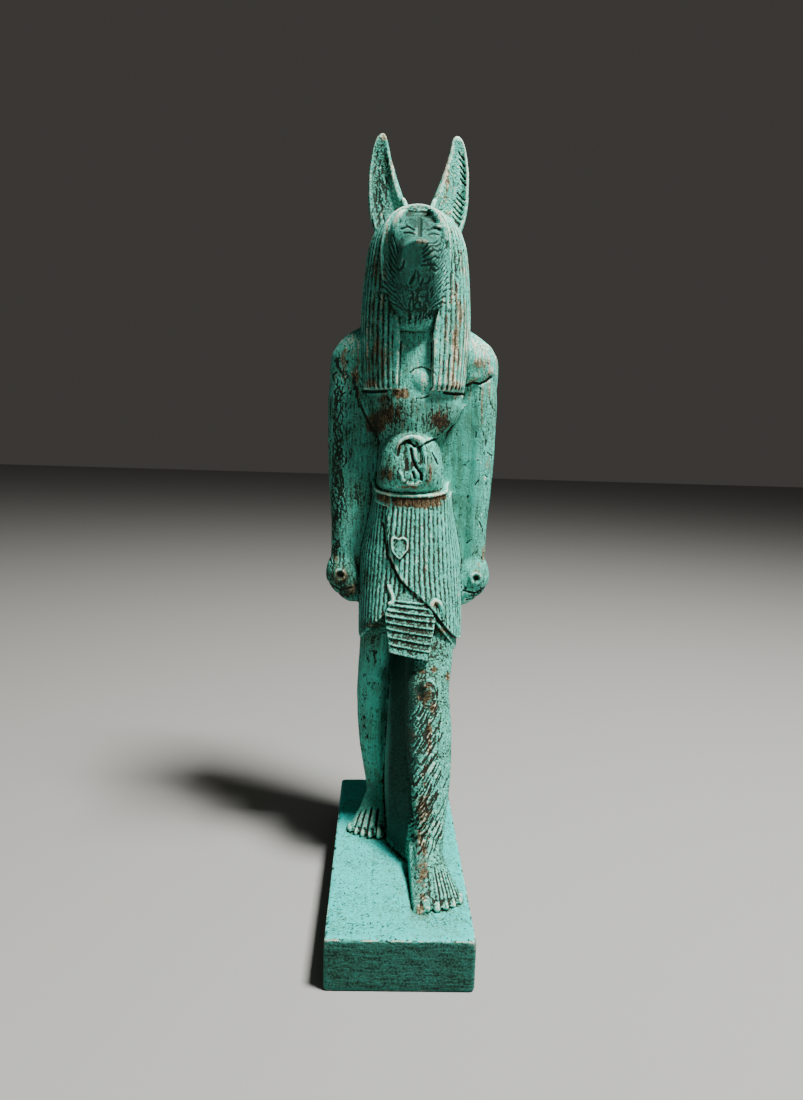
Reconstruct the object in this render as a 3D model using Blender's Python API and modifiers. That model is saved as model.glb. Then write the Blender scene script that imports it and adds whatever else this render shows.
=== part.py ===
# A jackal-headed figure striding on an oblong plinth, cast in one piece.
# The front faces -Y. The origin is the middle of the plinth's underside.
import math

import bmesh
import bpy
import numpy as np

# Driving dimensions, in metres
FIGURE_HEIGHT = 0.2825    # plinth top to ear tip
PLINTH_HEIGHT = 0.0183
PLINTH_EDGE = 0.0010      # rounding of the plinth's edges
FRONT_LEDGE = 0.0145      # bare plinth before the leading toe
BACK_LEDGE = 0.0090       # bare plinth behind the pillar
LEFT_LEDGE = 0.0047       # bare plinth beside the trailing foot
RIGHT_LEDGE = 0.0024      # bare plinth beside the leading foot
ROOT_DEPTH = 0.0015       # how far the figure runs down into the plinth
VERDIGRIS = (0.105, 0.420, 0.365, 1.0)

# The figure is drawn 282.5 units tall, from the plinth's top, and scaled to its height.
# In units, x is across from its middle plane, y is back from the body's axis, z is up.
DRAWN_HEIGHT = 282.5
UNIT = FIGURE_HEIGHT / DRAWN_HEIGHT
ROOT = -ROOT_DEPTH / UNIT

# Footprint of the figure, in units
LEADING_ANKLE = (9.0, -52.5)
TRAILING_ANKLE = (-9.9, 0.0)
LEADING_TURN = 0.13       # how far each foot turns out, across over along
TRAILING_TURN = 0.18
TOE_REACH = 30.8          # ankle to the tip of the great toe
FOOT_SPREAD = 8.1         # half width across the toes
PILLAR_HALF_WIDTH = 9.0
PILLAR_BACK = 22.0
PILLAR_TOP = 204.0

# Carving, in units
WIG_STRANDS = 42
STRAND_DEPTH = 0.55
KILT_TOP = 135.5
KILT_PLEATS = 62
PLEAT_DEPTH = 0.50
FLAP_THICKNESS = 1.1      # the wrapped end of the kilt stands this proud
APRON_RIDGES = 8
RIDGE_DEPTH = 0.55
BAND_RADIUS = 0.75        # each of the two cords round the face


def smooth(stations, at):
    """Passes a curve with no overshoot through the rows of stations, keyed by their first number."""
    table = np.array(stations, dtype=float)
    keys, values = table[:, 0], table[:, 1:]
    step = np.diff(keys)[:, None]
    rise = np.diff(values, axis=0) / step
    slope = np.zeros_like(values)
    before, after = rise[:-1], rise[1:]
    same_way = before * after > 0
    total = np.where(same_way, before + after, 1.0)
    slope[1:-1] = np.where(same_way, 2 * before * after / total, 0.0)
    slope[0], slope[-1] = rise[0], rise[-1]
    at = np.atleast_1d(np.asarray(at, dtype=float))
    k = np.clip(np.searchsorted(keys, at, side="right") - 1, 0, len(step) - 1)
    t = ((at - keys[k]) / step[k, 0])[:, None]
    return (
        values[k] * (1 + 2 * t) * (1 - t) ** 2
        + slope[k] * step[k] * t * (1 - t) ** 2
        + values[k + 1] * t**2 * (3 - 2 * t)
        + slope[k + 1] * step[k] * t**2 * (t - 1)
    )


def levels(stations, count):
    """Heights from the first key to the last, closer together where the keys are."""
    keys = np.array([row[0] for row in stations], dtype=float)
    return np.interp(np.linspace(0, len(keys) - 1, count), np.arange(len(keys)), keys)


def place(points):
    """Turns figure units into metres on the plinth."""
    return points * UNIT + np.array([FIGURE_X, FIGURE_Y, PLINTH_HEIGHT])


def add_form(name, vertices, faces):
    """Adds one closed form, in figure units, for the figure to be united from."""
    mesh = bpy.data.meshes.new(name)
    mesh.from_pydata(place(vertices).tolist(), [], [[int(i) for i in face] for face in faces])
    sheet = bmesh.new()
    sheet.from_mesh(mesh)
    bmesh.ops.recalc_face_normals(sheet, faces=sheet.faces)
    sheet.to_mesh(mesh)
    sheet.free()
    form = bpy.data.objects.new(name, mesh)
    hide_as_helper(form, forms)
    return form


def move_to(collection, thing):
    for owner in list(thing.users_collection):
        owner.objects.unlink(thing)
    collection.objects.link(thing)


def hide_as_helper(helper, collection):
    move_to(collection, helper)
    helper.hide_render = True
    helper.display_type = "WIRE"


def loft(name, rings):
    """Joins like rings of points into a closed form, with a fan of faces over each end."""
    rings = np.asarray(rings, dtype=float)
    rows, count = rings.shape[:2]
    vertices = np.vstack([rings.reshape(-1, 3), rings[0].mean(axis=0), rings[-1].mean(axis=0)])
    index = np.arange(rows * count).reshape(rows, count)
    after = np.roll(index, -1, axis=1)
    sides = np.stack([index[:-1], after[:-1], after[1:], index[1:]], axis=-1).reshape(-1, 4)
    ends = [(index[0, i], after[0, i], rows * count) for i in range(count)]
    ends += [(index[-1, i], after[-1, i], rows * count + 1) for i in range(count)]
    return add_form(name, vertices, list(sides) + ends)


def wedge(name, outer, core):
    """Closes a grid of rows onto the points of a core line, one to a row, like a slice of cake."""
    rows, count = outer.shape[:2]
    vertices = np.vstack([outer.reshape(-1, 3), core])
    index = np.arange(rows * count).reshape(rows, count)
    middle = np.arange(rows) + rows * count
    quads = np.stack([index[:-1, :-1], index[:-1, 1:], index[1:, 1:], index[1:, :-1]], axis=-1)
    faces = list(quads.reshape(-1, 4))
    for edge in (0, -1):
        faces += [(index[k, edge], index[k + 1, edge], middle[k + 1], middle[k])
                  for k in range(rows - 1)]
        faces += [(index[edge, i], index[edge, i + 1], middle[edge]) for i in range(count - 1)]
    return add_form(name, vertices, faces)


def oval(half_width, front, back, power, count):
    """An outline seen from above: a rounded oval, deeper before or behind, evenly stepped."""
    turn = np.linspace(-math.pi / 2, 1.5 * math.pi, 721)
    across = np.sign(np.cos(turn)) * np.abs(np.cos(turn)) ** (2 / power)
    along = np.sign(np.sin(turn)) * np.abs(np.sin(turn)) ** (2 / power)
    outline = np.stack([half_width * across, np.where(along < 0, front, back) * along], axis=1)
    length = np.concatenate([[0], np.cumsum(np.linalg.norm(np.diff(outline, axis=0), axis=1))])
    steps = np.linspace(0, length[-1], count, endpoint=False)
    return np.stack([np.interp(steps, length, outline[:, i]) for i in (0, 1)], axis=1)


def outward(outline):
    """The outward direction at each point of a closed outline that runs from the front to +X."""
    along = np.roll(outline, -1, axis=0) - np.roll(outline, 1, axis=0)
    normal = np.stack([along[:, 1], -along[:, 0]], axis=1)
    return normal / np.linalg.norm(normal, axis=1, keepdims=True)


def fluted(outline, depth):
    """Cuts every second point of an outline inwards, so that it reads as pleats or strands."""
    valley = (np.arange(len(outline)) % 2)[:, None]
    return outline - outward(outline) * valley * depth


def column(stations, count, rows, flutes=0.0):
    """Rings up a form whose stations are (z, centre x, centre y, half width, front, back, power)."""
    heights = levels(stations, rows)
    rings = []
    for z, (x, y, half_width, front, back, power) in zip(heights, smooth(stations, heights)):
        outline = oval(half_width, front, back, power, count)
        outline = fluted(outline, flutes) if flutes else outline
        rings.append(np.column_stack([outline + (x, y), np.full(count, z)]))
    return np.array(rings)


def mirrored(rings, side):
    return rings * np.array([side, 1, 1])


def ball(name, centre, radii, segments=10, rings=6):
    """An ellipsoid, in figure units."""
    bpy.ops.mesh.primitive_uv_sphere_add(segments=segments, ring_count=rings, radius=1.0)
    form = bpy.context.object
    form.name = name
    shape = np.array([vertex.co for vertex in form.data.vertices]) * radii + centre
    form.data.vertices.foreach_set("co", place(shape).ravel())
    hide_as_helper(form, forms)
    return form


def torso():
    """Belly, waist and the mass of the chest behind the wig."""
    stations = [
        (132, 0, 0, 15.5, 14.6, 10.5, 2.2),
        (142, 0, 0, 14.0, 13.4, 10.0, 2.2),
        (150, 0, 0, 12.9, 12.8, 9.6, 2.2),
        (158, 0, 0, 12.9, 12.3, 9.6, 2.2),
        (166, 0, 0, 14.8, 13.0, 10.2, 2.3),
        (174, 0, 0, 17.6, 14.0, 11.0, 2.4),
        (183, 0, 0, 20.4, 14.6, 12.0, 2.4),
        (192, 0, 0, 21.5, 14.2, 12.4, 2.4),
        (199, 0, 0, 20.5, 13.6, 12.0, 2.4),
        (206, 0, 0, 16.0, 12.8, 11.0, 2.4),
    ]
    loft("torso", column(stations, 18, 7))


def chest():
    """The raised chest, whose lower edge runs down from both armpits to the belly."""
    stations = [
        (159.5, 1.0, -6, 4.0, 8.2, 4, 2.0),
        (162.0, 0.4, -5, 9.6, 10.0, 5, 2.2),
        (166.0, 1.2, -3, 13.8, 12.6, 6, 2.3),
        (171.0, 1.4, -2, 16.6, 14.3, 7, 2.4),
        (178.0, 1.2, -1, 18.9, 15.6, 8, 2.5),
        (186.0, 0.8, 0, 20.6, 15.6, 8, 2.5),
        (194.0, 0.4, 0, 20.0, 14.9, 8, 2.4),
        (201.0, 0.0, 0, 16.0, 13.4, 8, 2.4),
    ]
    loft("chest", column(stations, 18, 7))


def shoulders():
    """The yoke from arm to arm, which thins into the web below it."""
    stations = [
        (172, 0.2, 1.0, 33.0, 0.8, 6.5, 3.2),
        (180, 0.2, 0.5, 34.2, 3.6, 7.4, 3.1),
        (188, 0.2, 0.2, 34.6, 7.8, 8.8, 2.8),
        (194, 0.3, 0.0, 34.2, 9.8, 9.6, 2.5),
        (199, 0.3, 0.0, 31.8, 10.2, 9.8, 2.2),
        (203, 0, 0.0, 27.6, 9.6, 9.4, 2.2),
        (206, 0, 0.0, 22.5, 8.4, 8.8, 2.2),
        (208, 0, 0.0, 16.0, 6.0, 7.0, 2.0),
    ]
    loft("shoulders", column(stations, 20, 7))


def arms():
    """Both arms hang straight down, closed fists round the butt of a short rod."""
    arm = [
        (107, 27.7, -1.0, 5.4, 5.4, 5.4, 2.1),
        (114, 27.5, -0.8, 5.1, 5.1, 5.2, 2.1),
        (124, 27.4, -0.5, 5.2, 5.3, 5.5, 2.1),
        (140, 28.0, 0.0, 5.8, 5.8, 6.0, 2.1),
        (157, 28.6, 0.3, 6.1, 6.3, 6.3, 2.1),
        (176, 28.7, 0.5, 6.3, 6.4, 6.4, 2.1),
        (186, 28.2, 0.5, 5.8, 5.8, 5.8, 2.1),
        (193, 26.4, 0.5, 4.0, 4.0, 4.0, 2.1),
    ]
    fist = [
        (91.5, 22.8, -1.5, 2.6, 3.0, 3.0, 2.2),
        (94.0, 23.6, -1.8, 4.6, 5.6, 4.6, 2.4),
        (98.5, 25.8, -2.0, 6.4, 7.0, 5.2, 2.6),
        (103.5, 27.4, -2.0, 6.9, 7.3, 5.2, 2.6),
        (108.0, 27.8, -1.8, 6.3, 6.6, 5.0, 2.5),
        (112.5, 27.6, -1.2, 4.9, 4.8, 4.6, 2.2),
    ]
    for side, hand in ((-1, "right"), (1, "left")):
        loft(f"{hand}_arm", mirrored(column(arm, 12, 7), side))
        loft(f"{hand}_fist", mirrored(column(fist, 12, 5), side))
        rod_end(f"{hand}_rod_end", side)


def rod_end(name, side):
    """The butt of the rod, a ring that faces forward out of the fist."""
    centre = np.array([27.7 * side, -9.3, 104.0])
    bpy.ops.mesh.primitive_torus_add(
        major_segments=10, minor_segments=4, major_radius=2.3, minor_radius=0.95
    )
    ring = bpy.context.object
    ring.name = name
    flat = np.array([vertex.co for vertex in ring.data.vertices])
    shape = np.stack([flat[:, 0], -flat[:, 2], flat[:, 1]], axis=1) + centre
    ring.data.vertices.foreach_set("co", place(shape).ravel())
    hide_as_helper(ring, forms)


def arm_webs():
    """The wall that joins both arms to the body, flush with the arms and a little hollow between."""
    rings = []
    for z, reach in ((92.0, 25.0), (100.0, 28.0), (140.0, 28.5), (180.0, 29.0), (198.0, 26.0)):
        left = [(13.0, -2.0), (20.0, -3.6), (reach, -4.6), (reach, 8.6)]
        right = [(-x, y) for x, y in reversed(left)]
        rings.append([(x, y, z) for x, y in left + right])
    loft("arm_webs", rings)


def wig():
    """The striated three-part wig, with an opening left for the face."""
    stations = [
        (181.0, 0, 0, 20.6, 17.6, 13.0, 3.4),
        (188.0, 0, 0, 21.3, 17.9, 14.2, 3.3),
        (197.0, 0, 0, 22.1, 18.0, 15.2, 3.1),
        (207.0, 0, 0, 22.3, 18.0, 16.5, 3.0),
        (219.0, 0, 0, 21.8, 17.6, 18.0, 2.7),
        (230.0, 0, 0, 20.9, 17.0, 18.8, 2.5),
        (238.0, 0, 0, 19.6, 16.4, 18.4, 2.4),
        (244.0, 0, 0, 17.4, 15.2, 17.0, 2.3),
        (248.5, 0, 0, 14.0, 13.0, 14.2, 2.2),
        (251.6, 0, 0, 9.8, 9.8, 10.2, 2.1),
        (253.4, 0, 0, 5.0, 5.4, 5.4, 2.0),
    ]
    opened_for_face(loft("wig", column(stations, 2 * WIG_STRANDS, 6, STRAND_DEPTH)))


def face_opening():
    """The middle and half width of the wig's opening, by height. The face turns a little aside."""
    return [
        (176.0, 0.0, 6.6),
        (204.0, 0.0, 6.9),
        (212.0, -0.4, 8.6),
        (222.0, -0.9, 10.2),
        (232.0, -1.2, 10.9),
        (239.0, -1.2, 10.5),
        (244.4, -0.8, 8.8),
        (247.4, -0.5, 5.8),
        (248.6, -0.4, 2.0),
    ]


def opened_for_face(covering):
    """Clears the face and throat out of the wig."""
    outline = face_opening()
    heights = levels(outline, 12)
    rings = []
    for z, (middle, half_width) in zip(heights, smooth(outline, heights)):
        left, right = middle - half_width, middle + half_width
        rings.append([(left, -30, z), (right, -30, z), (right, -11.6, z), (left, -11.6, z)])
    cutter = loft("opening_cutter", rings)
    hide_as_helper(cutter, cutters)
    cut = covering.modifiers.new("face_opening", "BOOLEAN")
    cut.operation = "DIFFERENCE"
    cut.object = cutter
    cut.solver = "EXACT"


def face_band():
    """Two cords side by side round the face, as one grooved strip along the opening."""
    heights = [208, 217, 226, 234, 240, 244.8, 247.8]
    sides = smooth(face_opening(), heights)
    edge = [(middle - half_width, z) for z, (middle, half_width) in zip(heights, sides)]
    edge += [(-0.4, 248.9)]
    edge += [(middle + half_width, z) for z, (middle, half_width) in zip(heights, sides)][::-1]
    edge = np.array(edge)
    along = np.gradient(edge, axis=0)
    aside = np.stack([-along[:, 1], along[:, 0]], axis=1) / np.linalg.norm(along, axis=1)[:, None]
    profile = [(-1.2, 0.2), (0.2, -1.3), (1.5, -0.4), (2.8, -1.3), (4.0, 0.4), (1.6, 7), (-1.2, 6)]
    rings = []
    for (x, z), (aside_x, aside_z) in zip(edge, aside):
        face = -16.0 + 0.055 * max(z - 238, 0) ** 1.6
        rings.append([(x + aside_x * out * BAND_RADIUS, face + back * BAND_RADIUS,
                       z + aside_z * out * BAND_RADIUS) for out, back in profile])
    loft("face_band", rings)


def lappet_edges():
    """A smooth bar down the inner edge of each lappet."""
    for side, name in ((-1, "right_lappet_edge"), (1, "left_lappet_edge")):
        strip = [(180.4, 16.7), (190, 17.0), (200, 16.8), (210, 16.0)]
        centres = [(side * (7.9 + 0.16 * max(z - 203, 0)), -y, z) for z, y in strip]
        tube(name, centres, 1.3)


def tube(name, centres, radius, sides=6):
    """A round bar through the centres, with its rings square to its run."""
    centres = np.array(centres, dtype=float)
    along = np.gradient(centres, axis=0)
    along /= np.linalg.norm(along, axis=1, keepdims=True)
    across = np.cross(along, (0.0, 1.0, 0.0))
    across /= np.linalg.norm(across, axis=1, keepdims=True)
    over = np.cross(along, across)
    turn = np.linspace(0, 2 * math.pi, sides, endpoint=False)[None, :, None]
    rings = centres[:, None] + radius * (
        np.cos(turn) * across[:, None] + np.sin(turn) * over[:, None]
    )
    return loft(name, rings)


def head():
    """The jackal's skull and muzzle, drawn as upright rings from the nose back."""
    stations = [
        (-43.0, -1.3, 3.2, 230.4, 224.0),
        (-41.8, -1.3, 5.4, 231.8, 222.2),
        (-38.5, -1.1, 6.6, 233.0, 220.6),
        (-33.0, -0.9, 7.0, 235.0, 218.6),
        (-27.5, -0.6, 7.6, 238.0, 215.6),
        (-23.0, -0.7, 9.4, 242.6, 211.8),
        (-19.0, -0.9, 11.2, 246.2, 208.0),
        (-13.0, -0.9, 12.6, 248.8, 205.5),
        (-4.0, -0.6, 12.0, 248.0, 205.0),
    ]
    keys = levels(stations, 10)
    rings = []
    for y, (x, half_width, top, bottom) in zip(keys, smooth(stations, keys)):
        outline = oval(half_width, (top - bottom) / 2, (top - bottom) / 2, 2.3, 16)
        middle = (top + bottom) / 2
        rings.append(np.column_stack([outline[:, 0] + x, np.full(16, y), outline[:, 1] + middle]))
    loft("head", rings)
    throat = [
        (203.8, -0.8, 0, 7.6, 17.4, 8, 2.5),
        (205.0, -0.8, 0, 8.8, 18.8, 8, 2.5),
        (210.0, -0.4, 0, 9.8, 20.6, 8, 2.4),
        (217.0, -0.2, 0, 10.6, 22.4, 8, 2.3),
        (224.0, 0.0, 0, 10.8, 22.8, 8, 2.3),
    ]
    loft("throat", column(throat, 16, 4))
    ball("nose", (-1.3, -41.4, 230.0), (3.4, 2.6, 2.4), 8, 5)
    for side, name in ((-1, "right"), (1, "left")):
        ball(f"{name}_eye", (5.2 * side, -20.0, 241.8), (3.2, 2.6, 1.4), 8, 5)
        ball(f"{name}_brow", (6.2 * side, -17.6, 245.2), (4.4, 3.2, 2.0), 8, 5)


def ears():
    """Tall pointed ears, hollowed in front between raised rims."""
    stations = [
        (240.0, 15.6, 8.0, 1.0, 3.0, 0.0),
        (246.0, 18.2, 4.2, 1.4, 3.8, 0.6),
        (252.0, 19.8, 4.0, 1.8, 3.8, 1.0),
        (259.0, 20.3, 6.4, 2.2, 3.5, 1.1),
        (266.0, 20.2, 9.0, 2.6, 3.1, 1.1),
        (273.0, 19.4, 11.2, 3.0, 2.6, 1.0),
        (278.0, 18.4, 12.4, 3.2, 2.2, 0.7),
        (281.2, 17.1, 13.2, 3.3, 1.6, 0.1),
        (282.5, 15.9, 14.1, 3.3, 0.9, 0.0),
    ]
    heights = levels(stations, 8)
    count = 12
    turn = np.linspace(0, 2 * math.pi, count, endpoint=False)
    across = np.cos(turn)
    front = np.where(np.sin(turn) < -0.1, (1 - across**2) ** 1.5, 0)
    rings = []
    for z, (outer, inner, y, thickness, hollow) in zip(heights, smooth(stations, heights)):
        x = (outer + inner) / 2 + (outer - inner) / 2 * across
        depth = y + thickness * np.sign(np.sin(turn)) * np.abs(np.sin(turn)) ** 0.6
        rings.append(np.column_stack([x, depth + front * thickness * hollow, np.full(count, z)]))
    for side, name in ((-1, "right_ear"), (1, "left_ear")):
        loft(name, mirrored(np.array(rings), side) + (-0.3, 0, 0))


def kilt_outline(z, count):
    stations = [
        (74.0, 0.6, 0, 20.6, 30.4, 14.0, 3.0),
        (84.0, 0.5, 0, 20.8, 27.8, 14.6, 2.9),
        (98.0, 0.3, 0, 20.9, 23.8, 15.2, 2.5),
        (111.0, 0.1, 0, 20.6, 20.4, 15.2, 2.2),
        (124.0, 0.0, 0, 19.4, 17.6, 14.2, 2.2),
        (136.0, 0.0, 0, 18.0, 15.8, 12.6, 2.2),
    ]
    x, y, half_width, front, back, power = smooth(stations, z)[0]
    return oval(half_width, front, back, power, count) + (x, y)


def waist_lift(outline):
    """How the belt line climbs from the front of the waist, at 0, to its sides, at 1."""
    return np.clip((outline[:, 1] + 17) / 13, 0, 1.1)


def kilt_grid(hem, columns, rows, proud, pleat_depth):
    """Pleated rings down the kilt, from its belt to a hem whose height changes round it."""
    count = 2 * KILT_PLEATS
    tops = KILT_TOP + 5.0 * waist_lift(kilt_outline(KILT_TOP, count))
    hems = hem(kilt_outline(84.0, count))
    grid = np.empty((rows, len(columns), 3))
    for row, share in enumerate(np.linspace(0, 1, rows)):
        for k, column_number in enumerate(columns):
            z = tops[column_number] * (1 - share) + hems[column_number] * share
            outline = kilt_outline(z, count)
            pleated = fluted(outline, pleat_depth) + outward(outline) * proud
            grid[row, k] = (*pleated[column_number], z)
    return grid


def under_hem(outline):
    """The inner layer: nearly level behind, and rising in front towards the apron."""
    x, y = outline[:, 0], outline[:, 1]
    rise = 23 * np.clip(1 - np.abs(x) / 19.5, 0, 1) ** 0.8
    return 78.5 - 0.075 * x + np.where(y < 0, rise, 0.0)


def flap_edge(outline):
    """The outer layer's edge: it falls from the belt on one side to the hem on the other."""
    line = [(-11.6, 132.5), (-10.6, 128.0), (-8.6, 115.5), (-3.6, 106.0), (4.4, 99.8), (10.2, 94.4),
            (17.6, 83.6), (21.5, 79.4)]
    x, y = outline[:, 0], outline[:, 1]
    return np.where(y < 0, smooth(line, np.clip(x, -11.6, 21.5))[:, 0], 79.6)


def kilt():
    """The pleated kilt, wrapped over itself from one side. Its inner layer is plain on that side."""
    count = 2 * KILT_PLEATS
    low = kilt_outline(84.0, count)
    showing = PLEAT_DEPTH * (low[:, :1] < 0)
    loft("kilt", kilt_grid(under_hem, np.arange(count), 3, 0.0, showing))
    start = int(np.argmin(np.hypot(low[:, 0] + 11.4, low[:, 1] + 25)))
    end = int(np.argmin(np.hypot(low[:, 0] - 3.0, low[:, 1] - 15)))
    columns = np.arange(start, count + end) % count
    outer = kilt_grid(flap_edge, columns, 3, FLAP_THICKNESS, PLEAT_DEPTH)
    core = np.array([(0.0, -3.0, z) for z in np.linspace(KILT_TOP, 100, len(outer))])
    wedge("kilt_flap", outer, core)


def belt():
    """A broad belt that dips in front."""
    rings = []
    for z, proud in ((133.6, -1.2), (134.2, 0.8), (138.4, 1.2), (139.2, 0.8), (139.6, -1.2)):
        outline = oval(17.2 + proud, 16.4 + proud, 13.0 + proud, 2.2, 28)
        rings.append(np.column_stack([outline, z + waist_lift(outline) * (5.6 - (z - 134) * 0.2)]))
    loft("belt", rings)


def apron():
    """The ribbed pendant that hangs under the kilt's opening."""
    outline = [(76.6, 8.0), (80.0, 8.3), (91.5, 9.9), (94.0, 9.0), (98.0, 5.8), (102.0, 1.6)]
    per_ridge = 3
    heights = np.linspace(76.6, 102.0, APRON_RIDGES * per_ridge + 1)
    rings = []
    for k, (z, (half_width,)) in enumerate(zip(heights, smooth(outline, heights))):
        front = -30.0 + (z - 76.6) * 0.32 + RIDGE_DEPTH * (k % per_ridge == 0)
        corners = [(-1, 0), (-0.8, -0.7), (0.0, -1.0), (0.8, -1.2), (1, -0.9), (1, 8.0), (-1, 8.0)]
        rings.append([(x * half_width + 0.6, front + y, z - 0.13 * x * half_width)
                      for x, y in corners])
    loft("apron", rings)


def belly():
    """The rounded belly over the belt, with a raised fold of cloth at its middle."""
    stations = [
        (139.5, -0.6, -6, 11.5, 9.0, 6, 2.4),
        (143.0, -0.7, -6, 13.3, 12.0, 6, 2.5),
        (148.0, -0.7, -6, 13.5, 13.7, 6, 2.4),
        (154.0, -0.5, -6, 12.8, 13.0, 6, 2.2),
        (160.0, -0.3, -6, 11.0, 11.2, 6, 2.2),
        (165.0, 0.0, -6, 8.0, 9.4, 6, 2.1),
    ]
    loft("belly", column(stations, 14, 7))
    fold = [(-6.6, -16.6, 156.0), (-4.8, -17.0, 160.2), (-0.9, -17.0, 162.4), (2.8, -17.4, 161.2),
            (4.4, -18.2, 156.6), (4.8, -19.0, 150.0), (4.0, -18.6, 145.0)]
    tube("fold", fold, 1.3)


def medallion():
    """The small oval boss on the flap."""
    ball("medallion", (-3.7, -19.6, 118.4), (3.2, 1.5, 3.6), 10, 5)


LEADING_LEG = [
    (-1, 9.0, -53.0, 5.4, 5.4, 6.8, 2.0),
    (9, 9.2, -52.4, 5.4, 5.2, 6.2, 2.0),
    (18, 9.5, -49.6, 6.0, 5.8, 6.4, 2.0),
    (27, 9.5, -45.4, 7.2, 6.4, 7.6, 2.0),
    (40, 9.2, -38.5, 8.7, 7.2, 9.2, 2.0),
    (51, 8.8, -32.6, 9.1, 7.8, 9.2, 2.0),
    (62, 8.3, -26.6, 8.8, 8.6, 8.6, 2.1),
    (74, 9.1, -19.2, 9.5, 8.4, 9.8, 2.1),
    (97, 9.4, -9.0, 10.0, 9.0, 10.0, 2.1),
]


def leading_leg():
    """The leg that strides forward, with its kneecap."""
    loft("left_leg", column(LEADING_LEG, 14, 9))
    ball("left_kneecap", (8.4, -33.2, 63.5), (3.6, 2.4, 5.4), 8, 6)


def trailing_leg():
    """The upright leg that stays behind."""
    stations = [
        (0, -9.9, 0.6, 5.0, 5.4, 6.8, 2.0),
        (9, -10.0, 0.4, 4.9, 5.4, 6.0, 2.0),
        (14, -10.5, 0.2, 5.2, 5.6, 6.0, 2.0),
        (26, -11.6, 0.2, 6.3, 6.6, 7.6, 2.0),
        (40, -12.5, 0.0, 7.2, 7.4, 9.2, 2.0),
        (50, -12.7, -0.2, 7.5, 8.0, 9.2, 2.0),
        (62, -12.2, -0.4, 7.9, 9.0, 8.4, 2.1),
        (75, -11.2, -0.6, 8.3, 9.2, 9.4, 2.1),
        (96, -10.8, -1.0, 9.4, 9.6, 10.4, 2.1),
    ]
    loft("right_leg", column(stations, 14, 9))
    ball("right_kneecap", (-12.0, -7.8, 63.5), (3.4, 2.4, 5.2), 8, 6)


def foot(name, ankle, side, turn_out):
    """A bare foot, drawn as upright rings from heel to toes, with five toes."""
    stations = [
        (-9.2, 2.8, 4.6),
        (-7.6, 4.8, 8.8),
        (-2.0, 5.6, 14.6),
        (4.0, 5.9, 14.8),
        (10.0, 6.5, 11.4),
        (17.0, 7.5, 8.0),
        (23.0, FOOT_SPREAD, 5.6),
        (26.4, FOOT_SPREAD * 0.96, 3.8),
    ]
    keys = levels(stations, 8)
    turn = np.linspace(0, math.pi, 6)
    rise = np.sin(turn) ** 0.6
    across = np.cos(turn) - 0.22 * rise
    rings = []
    for along, (half_width, top) in zip(keys, smooth(stations, keys)):
        x = ankle[0] + side * (turn_out * along + half_width * across)
        y = ankle[1] - along + 0.17 * max(along, 0) * np.maximum(across, 0)
        upper = np.column_stack([x, y, np.maximum(top * rise, 0.8)])
        lower = upper[::-1] * (1, 1, 0) + (0, 0, ROOT)
        rings.append(np.vstack([upper, lower]))
    loft(name, rings)
    toes = [
        (-5.9, TOE_REACH, 2.35),
        (-2.1, TOE_REACH - 0.6, 1.75),
        (1.1, TOE_REACH - 1.9, 1.65),
        (4.0, TOE_REACH - 3.6, 1.55),
        (6.7, TOE_REACH - 5.9, 1.5),
    ]
    for number, (outward_by, reach, radius) in enumerate(toes, start=1):
        x = ankle[0] + side * (turn_out * reach + outward_by)
        centre = (x, ankle[1] - reach + 3.6, radius * 0.85)
        ball(f"{name}_toe_{number}", centre, (radius, 3.6, radius * 1.05), 8, 4)


def leg_web():
    """The wall left between the legs, hollow towards the trailing leg, and its foot beside the toes."""
    rings = []
    for z in (ROOT, 14, 27, 44, 62, 80, 97):
        stride = smooth(LEADING_LEG, max(z, 0))[0][1]
        edge = [(7.0, stride), (1.9, stride + 4.5), (0.2, stride + 8), (-2.8, stride + 14),
                (-6.0, stride + 20), (-8.4, 14.0), (3.4, 14.0), (4.6, stride + 14)]
        rings.append([(x, y, z) for x, y in edge])
    loft("leg_web", rings)
    stations = [
        (-83.4, 3.8, 1.6),
        (-82.4, 2.7, 2.6),
        (-76.0, 2.2, 3.8),
        (-66.0, 2.0, 5.4),
        (-58.0, 1.8, 8.0),
        (-51.0, 1.6, 11.0),
    ]
    right = 6.4
    rings = []
    for y, left, top in stations:
        corners = [(left, ROOT), (left, top - 1.2), (left + 1.0, top), (right, top), (right, ROOT)]
        rings.append([(x, y, z) for x, z in corners])
    loft("foot_wall", rings)


def box(name, low, high, edge):
    """A box between two corners, in metres, with its edges rounded."""
    low, high = np.array(low), np.array(high)
    bpy.ops.mesh.primitive_cube_add(size=1.0)
    block = bpy.context.object
    block.name = name
    corners = np.array([vertex.co for vertex in block.data.vertices])
    block.data.vertices.foreach_set("co", ((corners + 0.5) * (high - low) + low).ravel())
    rounding = block.modifiers.new("rounded_edges", "BEVEL")
    rounding.width = edge
    rounding.segments = 2
    return block


def pillar():
    """The plain pillar up the figure's back."""
    low = place(np.array([-PILLAR_HALF_WIDTH, 5.0, ROOT]))
    high = place(np.array([PILLAR_HALF_WIDTH, PILLAR_BACK, PILLAR_TOP]))
    hide_as_helper(box("pillar", low, high, 0.8 * UNIT), forms)


def surface_of(name):
    material = bpy.data.materials.new(name)
    material.diffuse_color = VERDIGRIS
    material.use_nodes = True
    shader = material.node_tree.nodes["Principled BSDF"]
    shader.inputs["Base Color"].default_value = VERDIGRIS
    shader.inputs["Roughness"].default_value = 0.72
    shader.inputs["Metallic"].default_value = 0.0
    return material


def unite(body, operation, collection):
    join = body.modifiers.new(collection.name, "BOOLEAN")
    join.operation = operation
    join.operand_type = "COLLECTION"
    join.collection = collection
    join.solver = "EXACT"


for old in list(bpy.data.objects):
    bpy.data.objects.remove(old)

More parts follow.
